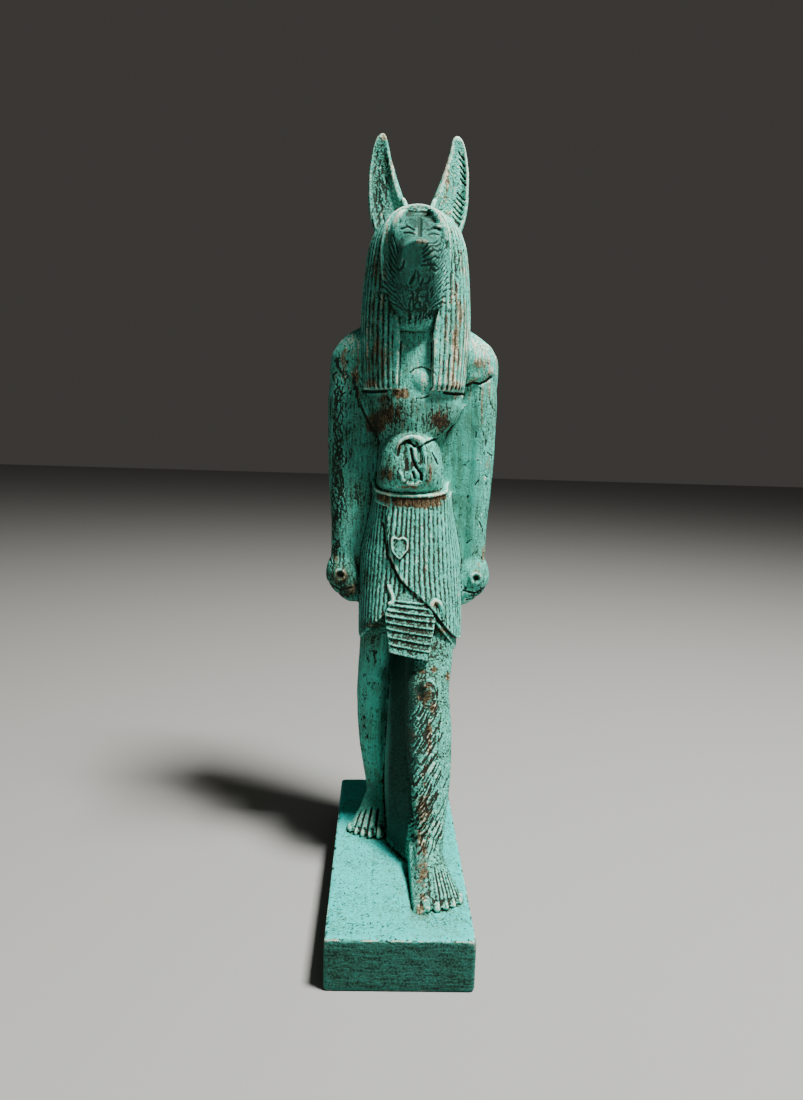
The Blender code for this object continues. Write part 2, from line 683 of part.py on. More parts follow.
statue_parts = bpy.data.collections.new("anubis_statue_parts")
forms = bpy.data.collections.new("figure_forms")
cutters = bpy.data.collections.new("cutters")
for collection in (statue_parts, forms, cutters):
    bpy.context.scene.collection.children.link(collection)

# The plinth is as wide and as long as the stance and its bare ledges
TRAILING_TOE_X = TRAILING_ANKLE[0] - TRAILING_TURN * (TOE_REACH - 5.9) - FOOT_SPREAD
LEADING_TOE_X = LEADING_ANKLE[0] + LEADING_TURN * (TOE_REACH - 5.9) + FOOT_SPREAD
LEFT_SIDE = TRAILING_TOE_X * UNIT - LEFT_LEDGE
RIGHT_SIDE = LEADING_TOE_X * UNIT + RIGHT_LEDGE
FRONT_SIDE = (LEADING_ANKLE[1] - TOE_REACH) * UNIT - FRONT_LEDGE
BACK_SIDE = PILLAR_BACK * UNIT + BACK_LEDGE
FIGURE_X = -(LEFT_SIDE + RIGHT_SIDE) / 2
FIGURE_Y = -(FRONT_SIDE + BACK_SIDE) / 2
HALF_WIDTH = (RIGHT_SIDE - LEFT_SIDE) / 2
HALF_LENGTH = (BACK_SIDE - FRONT_SIDE) / 2

plinth_low = (-HALF_WIDTH, -HALF_LENGTH, 0)
plinth_high = (HALF_WIDTH, HALF_LENGTH, PLINTH_HEIGHT)
statue = box("anubis_statue", plinth_low, plinth_high, PLINTH_EDGE)
move_to(statue_parts, statue)
statue.data.materials.append(surface_of("verdigris_paint"))

torso()
chest()
shoulders()
arms()
arm_webs()
wig()
head()
ears()
kilt()
belt()
apron()
belly()
medallion()
leading_leg()
trailing_leg()
foot("left_foot", LEADING_ANKLE, 1, LEADING_TURN)
foot("right_foot", TRAILING_ANKLE, -1, TRAILING_TURN)
leg_web()
pillar()
face_band()
lappet_edges()
unite(statue, "UNION", forms)
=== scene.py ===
import math

import bpy
import numpy as np
from mathutils import Matrix


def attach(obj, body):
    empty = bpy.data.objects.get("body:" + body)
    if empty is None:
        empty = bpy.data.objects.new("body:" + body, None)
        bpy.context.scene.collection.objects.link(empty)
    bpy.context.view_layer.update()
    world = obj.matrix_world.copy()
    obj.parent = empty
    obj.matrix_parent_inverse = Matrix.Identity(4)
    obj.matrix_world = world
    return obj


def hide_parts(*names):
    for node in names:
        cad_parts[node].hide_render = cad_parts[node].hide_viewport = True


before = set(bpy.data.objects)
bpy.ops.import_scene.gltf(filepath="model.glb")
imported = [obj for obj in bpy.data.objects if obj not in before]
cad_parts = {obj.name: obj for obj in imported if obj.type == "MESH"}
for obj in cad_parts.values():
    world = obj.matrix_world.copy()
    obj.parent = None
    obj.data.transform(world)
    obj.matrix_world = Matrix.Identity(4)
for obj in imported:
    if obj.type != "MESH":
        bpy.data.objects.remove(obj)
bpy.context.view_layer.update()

# The statue is drawn in millimetres: x across from its middle plane, y back from the body's
# axis, z up from the plinth's top. The origin of the frame is under the plinth's middle.
statue = {
    "toFrame": (2.2225, 33.4, 18.3),
    "plinthHalf": (24.96, 64.4),
    "pillar": ((-9, 5, -1.5), (9, 22, 204)),
    "voxel": 0.36,
    "triangles": 194000,
    "strands": 60,
    "strandDepth": 0.62,
    "pleats": 64,
    "pleatDepth": 0.62,
    "flapProud": 1.7,
    "belt": 135.5,
    "seed": 11,
    "chinStrokes": 34,
    "earStrokes": 46,
    "darkArmNicks": 90,
    "litArmNicks": 14,
    "shinStrokes": 190,
    "kneeStrokes": 60,
    "wobble": 0.17,
    "wobbleOnFlats": 0.05,
    "nickDepth": 0.55,
}


def curve(stations, at):
    # A curve with no overshoot through rows keyed by their first number: Hermite pieces whose
    # slope is the harmonic mean of the slopes on both sides.
    table = np.array(stations, float)
    keys, values = table[:, 0], table[:, 1:]
    step = np.diff(keys)[:, None]
    rise = np.diff(values, axis=0) / step
    slope = np.zeros_like(values)
    before, after = rise[:-1], rise[1:]
    sameWay = before * after > 0
    slope[1:-1] = np.where(sameWay, 2 * before * after / np.where(sameWay, before + after, 1), 0)
    slope[0], slope[-1] = rise[0], rise[-1]
    at = np.atleast_1d(np.asarray(at, float))
    k = np.clip(np.searchsorted(keys, at, side="right") - 1, 0, len(step) - 1)
    t = ((at - keys[k]) / step[k, 0])[:, None]
    return (values[k] * (1 + 2 * t) * (1 - t) ** 2 + slope[k] * step[k] * t * (1 - t) ** 2
            + values[k + 1] * t**2 * (3 - 2 * t) + slope[k + 1] * step[k] * t**2 * (t - 1))


def levels(stations, count):
    # Heights from the first key to the last, in equal steps from key to key.
    keys = np.array([row[0] for row in stations], float)
    return np.interp(np.linspace(0, len(keys) - 1, count), np.arange(len(keys)), keys)


def unit(vectors):
    return vectors / np.maximum(np.linalg.norm(vectors, axis=-1, keepdims=True), 1e-9)


def ramp(value, low, high):
    # 0 below low, 1 above high and a smooth cubic step between.
    t = np.clip((value - low) / (high - low), 0, 1)
    return t * t * (3 - 2 * t)


def oval(halfWidth, front, back, power, count):
    # A superellipse seen from above, deeper before or behind: the cosine and sine of the turn to
    # the power 2/power. Runs from the front to +X.
    turn = np.linspace(-math.pi / 2, 1.5 * math.pi, count, endpoint=False)[None]
    across = np.sign(np.cos(turn)) * np.abs(np.cos(turn)) ** (2 / power)
    along = np.sign(np.sin(turn)) * np.abs(np.sin(turn)) ** (2 / power)
    return halfWidth * across, np.where(along < 0, front, back) * along


def ovals(halfWidth, front, back, power, count):
    # One such ring to a row.
    return oval(*(np.reshape(v, (-1, 1)) for v in (halfWidth, front, back, power)), count)


def shareRound(x, y):
    # How far round each ring a point lies, as a share of the ring's length.
    length = np.hypot(np.roll(x, -1, 1) - x, np.roll(y, -1, 1) - y)
    total = np.cumsum(length, axis=1)
    return (total - length) / total[:, -1:]


def outwardRound(x, y):
    # The level outward direction at each point of a ring.
    dx, dy = np.roll(x, -1, 1) - np.roll(x, 1, 1), np.roll(y, -1, 1) - np.roll(y, 1, 1)
    normal = unit(np.stack([dy, -dx], -1))
    return normal[..., 0], normal[..., 1]


def column(stations, count, rows):
    # Rings up a form whose stations are (z, centre x, centre y, half width, front, back, power).
    z = levels(stations, rows)
    cx, cy, halfWidth, front, back, power = curve(stations, z).T
    x, y = ovals(halfWidth, front, back, power, count)
    return np.stack([x + cx[:, None], y + cy[:, None], np.repeat(z[:, None], count, 1)], -1)


def ridged(share, copies):
    # Rounded ridges side by side: 0 in each groove, 1 on each crown.
    return np.abs(np.sin(math.pi * share * copies)) ** 0.62


shells = {"points": [], "quads": [], "tris": [], "labels": [], "count": 0}


def addShell(grid, groove=0, soft=1):
    # Closes rows of rings into a skin, with a fan over each end, and notes how deep each point
    # lies in a groove and how much its creases may be softened.
    rows, count = grid.shape[:2]
    start = shells["count"]
    index = np.arange(rows * count).reshape(rows, count) + start
    after = np.roll(index, -1, axis=1)
    low, high = start + rows * count, start + rows * count + 1
    shells["points"] += [grid.reshape(-1, 3), grid[:1].mean(1), grid[-1:].mean(1)]
    shells["quads"].append(np.stack([index[:-1], after[:-1], after[1:], index[1:]], -1).reshape(-1, 4))
    shells["tris"].append(np.stack([after[0], index[0], np.full(count, low)], -1))
    shells["tris"].append(np.stack([index[-1], after[-1], np.full(count, high)], -1))
    label = np.zeros((rows * count + 2, 4))
    label[:-2, 0] = np.broadcast_to(groove, (rows, count)).ravel()
    label[:, 1] = soft
    label[:, 3] = 1
    shells["labels"].append(label)
    shells["count"] += rows * count + 2


def ball(centre, radii, soft=1):
    # An ellipsoid as rings round its upright axis.
    rise = np.linspace(-math.pi / 2, math.pi / 2, 42)[1:-1, None]
    turn = np.linspace(0, 2 * math.pi, 72, endpoint=False)[None]
    shape = np.stack([np.cos(rise) * np.cos(turn), np.cos(rise) * np.sin(turn),
                      np.sin(rise) + 0 * turn], -1)
    addShell(shape * radii + centre, soft=soft)


def along(keys, count):
    # Points in equal steps along a smooth path through the keys.
    keys = np.array(keys, float)
    gone = np.concatenate([[0], np.cumsum(np.linalg.norm(np.diff(keys[:, :3], axis=0), axis=1))])
    return curve(np.column_stack([gone, keys]), np.linspace(0, gone[-1], count))


def tube(keys, wide, deep, count=150, sides=28):
    # A bar of oval section through the keys: an ellipse in the plane square to its run, `wide`
    # across the view and `deep` towards it. Its ends are rounded off over their last tenth.
    centres = along(keys, count)[:, :3]
    run = unit(np.gradient(centres, axis=0))
    across = unit(np.cross(run, (0, 1, 0)))
    over = np.cross(across, run)
    end = np.minimum(np.linspace(0, 1, count), np.linspace(1, 0, count)) * 14
    taper = np.sqrt(1 - (1 - np.clip(end, 0.02, 1)) ** 2)[:, None, None]
    turn = np.linspace(0, 2 * math.pi, sides, endpoint=False)[None, :, None]
    addShell(centres[:, None] + taper * (np.cos(turn) * across[:, None] * wide
                                         + np.sin(turn) * over[:, None] * deep))


# Stations of the body: height, centre across and back, half width, front, back and power
torso = [
    (132, 0, 0, 15.5, 14.6, 10.5, 2.2), (142, 0, 0, 14, 13.4, 10, 2.2), (150, 0, 0, 12.9, 12.8, 9.6, 2.2),
    (158, 0, 0, 12.9, 12.3, 9.6, 2.2), (166, 0, 0, 14.8, 13, 10.2, 2.3), (174, 0, 0, 17.6, 14, 11, 2.4),
    (183, 0, 0, 20.4, 14.6, 12, 2.4), (192, 0, 0, 21.5, 14.2, 12.4, 2.4), (199, 0, 0, 20.5, 13.6, 12, 2.4),
    (206, 0, 0, 16, 12.8, 11, 2.4)]
chest = [
    (159.5, 1, -6, 4, 8.2, 4, 2), (162, 0.4, -5, 9.6, 10, 5, 2.2), (166, 1.2, -3, 13.8, 12.6, 6, 2.3),
    (171, 1.4, -2, 16.6, 14.3, 7, 2.4), (178, 1.2, -1, 18.9, 15.6, 8, 2.5),
    (186, 0.8, 0, 20.6, 15.6, 8, 2.5), (194, 0.4, 0, 20, 14.9, 8, 2.4), (201, 0, 0, 16, 13.4, 8, 2.4)]
shoulders = [
    (172, 0.2, 1, 33, 0.8, 6.5, 3.2), (180, 0.2, 0.5, 34.2, 3.6, 7.4, 3.1),
    (188, 0.2, 0.2, 34.6, 7.8, 8.8, 2.8), (194, 0.3, 0, 34.2, 9.8, 9.6, 2.5),
    (199, 0.3, 0, 31.8, 10.2, 9.8, 2.2), (203, 0, 0, 27.6, 9.6, 9.4, 2.2), (206, 0, 0, 22.5, 8.4, 8.8, 2.2),
    (208, 0, 0, 16, 6, 7, 2)]
arm = [
    (107, 27.7, -1, 5.4, 5.4, 5.4, 2.1), (114, 27.5, -0.8, 5.1, 5.1, 5.2, 2.1),
    (124, 27.4, -0.5, 5.2, 5.3, 5.5, 2.1), (140, 28, 0, 5.8, 5.8, 6, 2.1),
    (157, 28.6, 0.3, 6.1, 6.3, 6.3, 2.1), (176, 28.7, 0.5, 6.3, 6.4, 6.4, 2.1),
    (186, 28.2, 0.5, 5.8, 5.8, 5.8, 2.1), (193, 26.4, 0.5, 4, 4, 4, 2.1)]
fist = [
    (93, 22.8, -1.5, 2.4, 3, 3, 2.2), (95, 23.6, -1.8, 4.3, 5.4, 4.6, 2.4),
    (99, 25.8, -2, 6.2, 7, 5.2, 2.6), (103.5, 27.4, -2, 6.9, 7.3, 5.2, 2.6),
    (108, 27.8, -1.8, 6.3, 6.6, 5, 2.5), (112.5, 27.6, -1.2, 4.9, 4.8, 4.6, 2.2)]
belly = [
    (139.5, -0.6, -6, 11.5, 9, 6, 2.4), (143, -0.7, -6, 13.3, 12, 6, 2.5),
    (148, -0.7, -6, 13.5, 13.7, 6, 2.4), (154, -0.5, -6, 12.8, 13, 6, 2.2),
    (160, -0.3, -6, 11, 11.2, 6, 2.2), (165, 0, -6, 8, 9.4, 6, 2.1)]


def body():
    # Trunk, chest, yoke, webs, arms and fists from their stations, and the rod ends as rings
    # that face forward.
    for stations, count, rows in ((torso, 300, 200), (chest, 300, 130), (shoulders, 360, 110),
                                  (belly, 220, 90)):
        addShell(column(stations, count, rows))
    web = []
    for z, reach in ((93, 24), (100, 28), (140, 28.5), (180, 29), (198, 26)):
        left = [(13, -1.6), (17, -2.4), (20.5, -3.6), (24, -4.6), (reach, -5), (reach, 8.6)]
        web.append([(x, y, z) for x, y in left + [(-x, y) for x, y in left[::-1]]])
    addShell(finer(risen(np.array(web), 200), 30))
    ball((3, -14, 184.2), (4.9, 3.3, 5.4))
    fold = [(-6.6, -16.6, 156), (-4.8, -17.2, 160.2), (-0.9, -17.2, 162.4), (2.8, -17.6, 161.2),
            (4.4, -18.4, 156.6), (4.8, -19.2, 150), (4, -18.8, 145)]
    tube(fold, 1, 1)
    for side in (-1, 1):
        addShell(column(arm, 120, 260) * (side, 1, 1))
        addShell(column(fist, 140, 80) * (side, 1, 1))
        turn = np.linspace(0, 2 * math.pi, 60, endpoint=False)[None, :, None]
        swing = np.linspace(0, 2 * math.pi, 24, endpoint=False)[:, None, None]
        ringCentre = np.array([28.1 * side, -9.2, 105.2])
        spoke = np.concatenate([np.cos(turn), 0 * turn, np.sin(turn)], -1)
        ring = ringCentre + spoke * (2.05 + 0.9 * np.cos(swing)) + (0, 1, 0) * np.sin(swing) * 1.3
        addTorus(ring)


def addTorus(grid):
    # A ring of rings, closed both ways round.
    rows, count = grid.shape[:2]
    index = np.arange(rows * count).reshape(rows, count) + shells["count"]
    after, above = np.roll(index, -1, 1), np.roll(index, -1, 0)
    shells["points"].append(grid.reshape(-1, 3))
    shells["quads"].append(np.stack([index, above, np.roll(above, -1, 1), after], -1).reshape(-1, 4))
    shells["labels"].append(np.tile([0, 1, 0, 1], (rows * count, 1)))
    shells["count"] += rows * count


# Stations of the head. The face opening is height, middle and half width, the skull is depth,
# middle, half width, top and bottom, and an ear is height, outer and inner edge, depth, half
# thickness and how hollow it is.
wig = [
    (180.6, 0, 0, 20.4, 19, 13, 3.4), (183, 0, 0, 20.8, 19.5, 13.4, 3.4),
    (188, 0, 0, 21.3, 19.3, 14.2, 3.3), (197, 0, 0, 22.1, 18.8, 15.2, 3.1),
    (207, 0, 0, 22.3, 18.3, 16.5, 3), (219, 0, 0, 21.8, 17.6, 18, 2.7), (230, 0, 0, 20.9, 17, 18.8, 2.5),
    (238, 0, 0, 19.6, 16.4, 18.4, 2.4), (244, 0, 0, 17.4, 15.2, 17, 2.3), (248.5, 0, 0, 14, 13, 14.2, 2.2),
    (251.6, 0, 0, 9.8, 9.8, 10.2, 2.1), (253.4, 0, 0, 5, 5.4, 5.4, 2)]
faceOpening = [
    (176, 0, 6.6), (204, 0, 6.9), (212, -0.4, 8.6), (222, -0.9, 10.2), (232, -1.2, 10.9), (239, -1.2, 10.5),
    (244.4, -0.8, 8.8), (247.4, -0.5, 5.8), (248.6, -0.4, 2)]
skull = [
    (-43, -1.7, 4.3, 230.6, 223.2), (-42.2, -1.5, 5.7, 231.6, 222.2), (-38.5, -1.1, 6.6, 233, 220.6),
    (-33, -0.9, 7, 235, 218.6), (-27.5, -0.6, 7.6, 238, 215.6), (-23, -0.7, 9.4, 242.6, 211.8),
    (-19, -0.9, 11.2, 246.2, 208), (-13, -0.9, 12.6, 248.8, 205.5), (-4, -0.6, 12, 248, 205)]
throat = [
    (203.8, -0.8, 0, 7.6, 17.4, 8, 2.5), (205, -0.8, 0, 8.8, 18.8, 8, 2.5),
    (210, -0.4, 0, 9.8, 20.6, 8, 2.4), (217, -0.2, 0, 10.6, 22.4, 8, 2.3), (224, 0, 0, 10.8, 22.8, 8, 2.3)]
ear = [
    (240, 15.6, 8, 1, 3, 0), (246, 18.2, 4.2, 1.4, 3.8, 0.6), (252, 19.8, 4, 1.8, 3.8, 1),
    (259, 20.3, 6.4, 2.2, 3.5, 1.1), (266, 20.2, 9, 2.6, 3.1, 1.1), (273, 19.4, 11.2, 3, 2.6, 1),
    (278, 18.4, 12.4, 3.2, 2.2, 0.7), (281.2, 17.1, 13.2, 3.3, 1.6, 0.1), (282.5, 15.9, 14.1, 3.3, 0.9, 0)]


def head():
    # The wig is a fluted column whose front is pressed back inside the face opening. The skull is
    # drawn as upright rings from the nose back. Each ear is a flat column hollowed in front.
    grid = column(wig, 1400, 220)
    x, y, z = grid[..., 0], grid[..., 1], grid[..., 2]
    strands = ridged(shareRound(x, y), statue["strands"])
    outX, outY = outwardRound(x, y)
    depth = statue["strandDepth"] * ramp(253.5 - z, 0, 6)
    x, y = x - outX * (1 - strands) * depth, y - outY * (1 - strands) * depth
    # The strands end in scallops below, a little drawn in
    end = ramp(183.6 - z, 0, 2.4) * (y < -8)
    z = z + end * (1 - strands) * 1.3
    y = y + end * 0.5
    middle, halfWidth = curve(faceOpening, np.clip(z.mean(1), 176, 248.6)).T
    inside = (np.abs(x - middle[:, None]) < halfWidth[:, None]) & (y < -11.6) & (z < 248.6)
    y = np.where(inside, -11.6, y)
    addShell(np.stack([x, y, z], -1), groove=np.where(inside, 0, 1 - strands), soft=0)

    keys = levels(skull, 150)
    middleX, halfWidth, top, bottom = curve(skull, keys).T
    half = (top - bottom) / 2
    across, rise = ovals(halfWidth, half, half, np.full(150, 2.3), 220)
    high = rise + ((top + bottom) / 2)[:, None]
    # The end of the muzzle is cut obliquely, with the nose foremost
    back = keys[:, None] + 0.55 * np.clip(231.5 - high, 0, 12) * ramp(-keys[:, None], 27, 40)
    addShell(np.stack([across + middleX[:, None], back, high], -1))
    addShell(column(throat, 200, 60))
    ball((-0.4, -41.2, 230.8), (3.3, 2.6, 1.5))
    for side in (-1, 1):
        ball((5.2 * side, -20, 241.6), (2.9, 2.4, 1.2))

    heights = np.concatenate([levels(ear, 170), [282.7]])
    outer, inner, y, thick, hollow = curve(ear, heights).T[:, :, None]
    turn = np.linspace(0, 2 * math.pi, 200, endpoint=False)[None]
    across = np.cos(turn)
    dish = np.where(np.sin(turn) < 0, ramp(across, -0.78, -0.3) * ramp(-across, -0.93, -0.55), 0)
    x = (outer + inner) / 2 + (outer - inner) / 2 * across
    depth = y + thick * np.sign(np.sin(turn)) * np.abs(np.sin(turn)) ** 0.6
    grid = np.stack([x, depth + dish * thick * hollow * 0.75, heights[:, None] + 0 * turn], -1)
    for side in (-1, 1):
        addShell(grid * (side, 1, 1) + (-0.3, 0, 0))


def faceBand():
    # Two cords side by side round the face: circles swept along the opening's edge, leaning back
    # over the brow, and a smooth bar down the inner edge of each lappet.
    heights = np.array([208, 217, 226, 234, 240, 244.8, 247.8])
    sides = curve(faceOpening, heights)
    left = np.column_stack([sides[:, 0] - sides[:, 1], heights])
    right = np.column_stack([sides[:, 0] + sides[:, 1], heights])
    edge = np.vstack([left, [(-0.4, 248.9)], right[::-1]])
    face = -16.0 + 0.055 * np.maximum(edge[:, 1] - 238, 0) ** 1.6
    centre = np.array([-0.5, 232])
    for out, back, radius in ((0.3, 0.1, 0.75), (2.2, 0.3, 0.85)):
        away = unit(edge - centre) * out
        keys = np.column_stack([edge[:, 0] + away[:, 0], face + back, edge[:, 1] + away[:, 1]])
        tube(keys, radius, radius, count=300)
        tube(keys + (0, 2, 0), radius, 2, count=300)
    rim = [(-6.6, -0.4, 257.5), (-5.4, -2.4, 253.6), (-4.4, -6.5, 251.4), (-2.6, -10.6, 250.4),
           (-0.3, -12.6, 250.1), (2.2, -10.6, 250.4), (4.2, -6.5, 251.4), (5.3, -2.4, 253.6),
           (6.6, -0.4, 257.5)]
    tube(rim, 1.1, 1.1, count=300)
    # The lit lobes on both sides of the brow
    lobe = [(-5.2, -15.4, 248.2), (-8.2, -18.6, 245.2), (-10, -18.4, 241.5), (-10.4, -17.2, 237.6)]
    tube(lobe, 1.5, 1.7)
    tube([(3, -15.4, 248.6), (6, -19, 245.8), (8.2, -18.8, 242), (9.3, -17.4, 236.6)], 1.9, 1.7)
    for side in (-1, 1):
        bar = [(180.9, 17.6), (190, 17.6), (200, 17.2), (210, 16.2)]
        tube([(side * (7.7 + 0.16 * max(z - 203, 0)), -y, z) for z, y in bar], 1.5, 1.5)


# Stations of the kilt, and the slanting edge of its outer layer as x and z
kiltShape = [
    (74, 0.6, 0, 20.6, 30.4, 14, 3), (84, 0.5, 0, 20.8, 27.8, 14.6, 2.9),
    (98, 0.3, 0, 20.9, 23.8, 15.2, 2.5), (111, 0.1, 0, 20.6, 20.4, 15.2, 2.2),
    (124, 0, 0, 19.4, 17.6, 14.2, 2.2), (136, 0, 0, 18, 15.8, 12.6, 2.2)]
flapLine = [
    (-11.6, 132.5), (-10.6, 128), (-8.6, 115.5), (-3.6, 106), (4.4, 99.8), (10.2, 94.4), (17.6, 83.6),
    (21.5, 79.4)]


def kiltRing(z, count):
    # The kilt's outline at a height of its own for every point of a ring.
    x, y, halfWidth, front, back, power = curve(kiltShape, z.ravel()).T.reshape(6, *z.shape)
    across, along = oval(halfWidth, front, back, power, count)
    return x + across, y + along


def waistLift(y):
    # How the belt line climbs from the front of the waist, at 0, to its sides, at 1.
    return np.clip((y + 17) / 13, 0, 1.1)


def kiltLayer(hem, proud, pleated, rows=220, count=1500):
    # Pleated rings from the belt to a hem whose height changes round the layer.
    _, beltY = kiltRing(np.full((1, count), statue["belt"]), count)
    hemX, hemY = kiltRing(np.full((1, count), 84.0), count)
    top = statue["belt"] + 5 * waistLift(beltY)
    down = np.linspace(0, 1, rows)[:, None]
    z = top * (1 - down) + hem(hemX, hemY) * down
    x, y = kiltRing(z, count)
    share = shareRound(*kiltRing(np.full((1, count), 105.0), count))
    pleats = 1 - (1 - ridged(share, statue["pleats"])) * pleated(hemX)
    outX, outY = outwardRound(x, y)
    out = proud(hemX, hemY) - statue["pleatDepth"] * (1 - pleats)
    out = out - 1.7 * ramp(np.abs(x), 13.5, 17.5) * ramp(z, 112, 135)
    addShell(np.stack([x + outX * out, y + outY * out, z], -1), groove=1 - pleats, soft=0)


def kilt():
    # The inner layer rises in front towards the apron. The outer layer's edge falls from the belt
    # on one side to the hem on the other, and the rest of its ring is sunk out of sight.
    def underHem(x, y):
        rise = 23 * np.clip(1 - np.abs(x) / 19.5, 0, 1) ** 0.8
        return 78.5 - 0.075 * x + np.where(y < 0, rise, 0)

    def flapHem(x, y):
        line = curve(flapLine, np.clip(x, -11.6, 21.5).ravel())[:, 0].reshape(x.shape)
        return np.where(y < 0, line, 79.6)

    def flapShown(x, y):
        shown = (x > -11.4) & (y < 3) | (x > 0)
        return np.where(shown, statue["flapProud"], -2.5)

    kiltLayer(underHem, lambda x, y: 0, lambda x: (x < 0) * 1)
    kiltLayer(flapHem, flapShown, lambda x: 1.0 + 0 * x)

    rings = []
    for z, proud in ((133.2, -1.2), (133.3, 0.7), (133.9, 1.2), (136.2, 1.2), (138.3, 1), (138.6, 1.5),
                     (139.4, 1.6), (139.6, 1), (139.6, -1.2)):
        x, y = ovals(17.2, 16.4, 13, 2.2, 500)
        outX, outY = outwardRound(x, y)
        # The belt sinks into the webs at both sides
        out = np.where(y < 0, proud + (-1.0 - proud) * ramp(np.abs(x), 13.2, 16.6), proud)
        x, y = x + outX * out, y + outY * out
        rings.append(np.stack([x[0], y[0], z + waistLift(y[0]) * (5.6 - (z - 134) * 0.2)], -1))
    addShell(risen(np.array(rings), 90), soft=0)


def apron():
    # A rounded slab that widens downwards, with narrow level ridges that tilt more lower down.
    outline = [(76.6, 8), (80, 8.3), (91.5, 9.9), (94, 9), (98, 5.8), (102, 1.6)]
    z = np.linspace(76.6, 102, 260)[:, None]
    halfWidth = curve(outline, z[:, 0])
    ridges = sum(np.exp(-((z - at) / 0.3) ** 2)
                 for at in (97.2, 95.4, 93.2, 91, 88.4, 85.8, 82.8, 80))
    u = np.linspace(-1, 1, 160)[None]
    depth = -1.1 * (1 - np.abs(u) ** 4) - 0.15 * u
    front = -30.0 + (z - 76.6) * 0.32 + depth - 0.8 * ridges
    tilt = 0.06 + 0.13 * (102 - z) / 25
    face = np.stack([u * halfWidth + 0.6, front, z - tilt * u * halfWidth], -1)
    back = face[:, ::-1] * (1, 0, 1) + (0, 1, 0) * (-30.0 + (z[..., None] - 76.6) * 0.32 + 8)
    addShell(np.concatenate([face, back], 1), soft=0)
    tube([(-8.6, -20.6, 104), (-7.2, -22.6, 101), (-6.3, -23.6, 98.2), (-7, -24.2, 96.4),
          (-8.6, -24, 96.8)], 0.8, 0.9)
    tube([(8.7, -24.6, 92.6), (8.9, -24.8, 96), (10.2, -24.2, 98.3), (12, -23.6, 97.4),
          (13.3, -23.4, 94.4), (13.6, -23.6, 91.4)], 0.95, 1.1)
    outline = [(-7.9, 120.6), (-7.6, 122), (-6.4, 122.9), (-4.9, 122.3), (-3.2, 122.9), (-1.7, 122.3),
               (-0.8, 120.8), (-0.9, 118.2), (-2.4, 116), (-4.2, 114.1), (-5.8, 115.2), (-7.4, 117.6)]
    outline = np.array(outline + outline[:1])
    x, z = along(np.column_stack([outline, 0 * outline[:, 0]]), 160)[:-1, :2].T
    rings = []
    for share, out in ((1, -3), (1, 0.7), (0.97, 1), (0.84, 1), (0.8, 0.55), (0.4, 0.5)):
        cx, cz = -4.3 + (x + 4.3) * share, 118.6 + (z - 118.6) * share
        rings.append(np.stack([cx, -20.7 + 0.215 * (cz - 118.4) - out + 0.03 * (cx + 2) ** 2, cz], -1))
    addShell(risen(np.array(rings), 60), soft=0)


# Stations of the legs. The foot is reach from the ankle, half width and top, and a toe is its
# place outwards, its reach and its radius.
leadingLeg = [
    (-1, 9, -53, 5.4, 5.4, 6.8, 2), (9, 9.2, -52.4, 5.4, 5.2, 6.2, 2), (18, 9.5, -49.6, 6, 5.8, 6.4, 2),
    (27, 9.5, -45.4, 7.2, 6.4, 7.6, 2), (40, 9.2, -38.5, 8.7, 7.2, 9.2, 2),
    (51, 8.8, -32.6, 9.1, 7.8, 9.2, 2), (62, 8.3, -26.6, 8.8, 8.6, 8.6, 2.1),
    (74, 9.1, -19.2, 9.5, 8.4, 9.8, 2.1), (97, 9.4, -9, 10, 9, 10, 2.1)]
trailingLeg = [
    (0, -9.9, 0.6, 5, 5.4, 6.8, 2), (9, -10, 0.4, 4.9, 5.4, 6, 2), (14, -10.5, 0.2, 5.2, 5.6, 6, 2),
    (26, -11.6, 0.2, 6.3, 6.6, 7.6, 2), (40, -12.5, 0, 7.2, 7.4, 9.2, 2), (50, -12.7, -0.2, 7.5, 8, 9.2, 2),
    (62, -12.2, -0.4, 7.9, 9, 8.4, 2.1), (75, -11.2, -0.6, 8.3, 9.2, 9.4, 2.1),
    (96, -10.8, -1, 9.4, 9.6, 10.4, 2.1)]
footShape = [
    (-9.2, 2.8, 4.6), (-7.6, 4.8, 8.8), (-2, 5.6, 14.6), (4, 5.9, 14.8), (10, 6.5, 11.4), (17, 7.5, 8),
    (23, 8.1, 5.6), (26.4, 7.8, 3.8)]
toes = [
    (-5.9, 30.8, 2.35), (-2.1, 30.2, 1.75), (1.1, 28.9, 1.65), (4, 27.2, 1.55), (6.7, 24.9, 1.5)]


def foot(ankle, side, turnOut):
    # Upright rings from heel to toes, flat below, and a lengthwise ellipsoid for each toe.
    keys = levels(footShape, 120)[:, None]
    halfWidth, top = curve(footShape, keys[:, 0]).T[:, :, None]
    turn = np.linspace(0, math.pi, 90)[None]
    rise = np.sin(turn) ** 0.6
    across = np.cos(turn) - 0.22 * rise
    x = ankle[0] + side * (turnOut * keys + halfWidth * across)
    y = ankle[1] - keys + 0.17 * np.maximum(keys, 0) * np.maximum(across, 0)
    upper = np.stack([x, y, np.maximum(top * rise, 0.8)], -1)
    lower = upper[:, ::-1] * (1, 1, 0) + (0, 0, -1.5)
    addShell(np.concatenate([upper, lower], 1))
    for outwardBy, reach, radius in toes:
        centre = (ankle[0] + side * (turnOut * reach + outwardBy), ankle[1] - reach + 3.6, radius * 0.85)
        ball(centre, (radius, 3.6, radius * 1.05), soft=0.3)


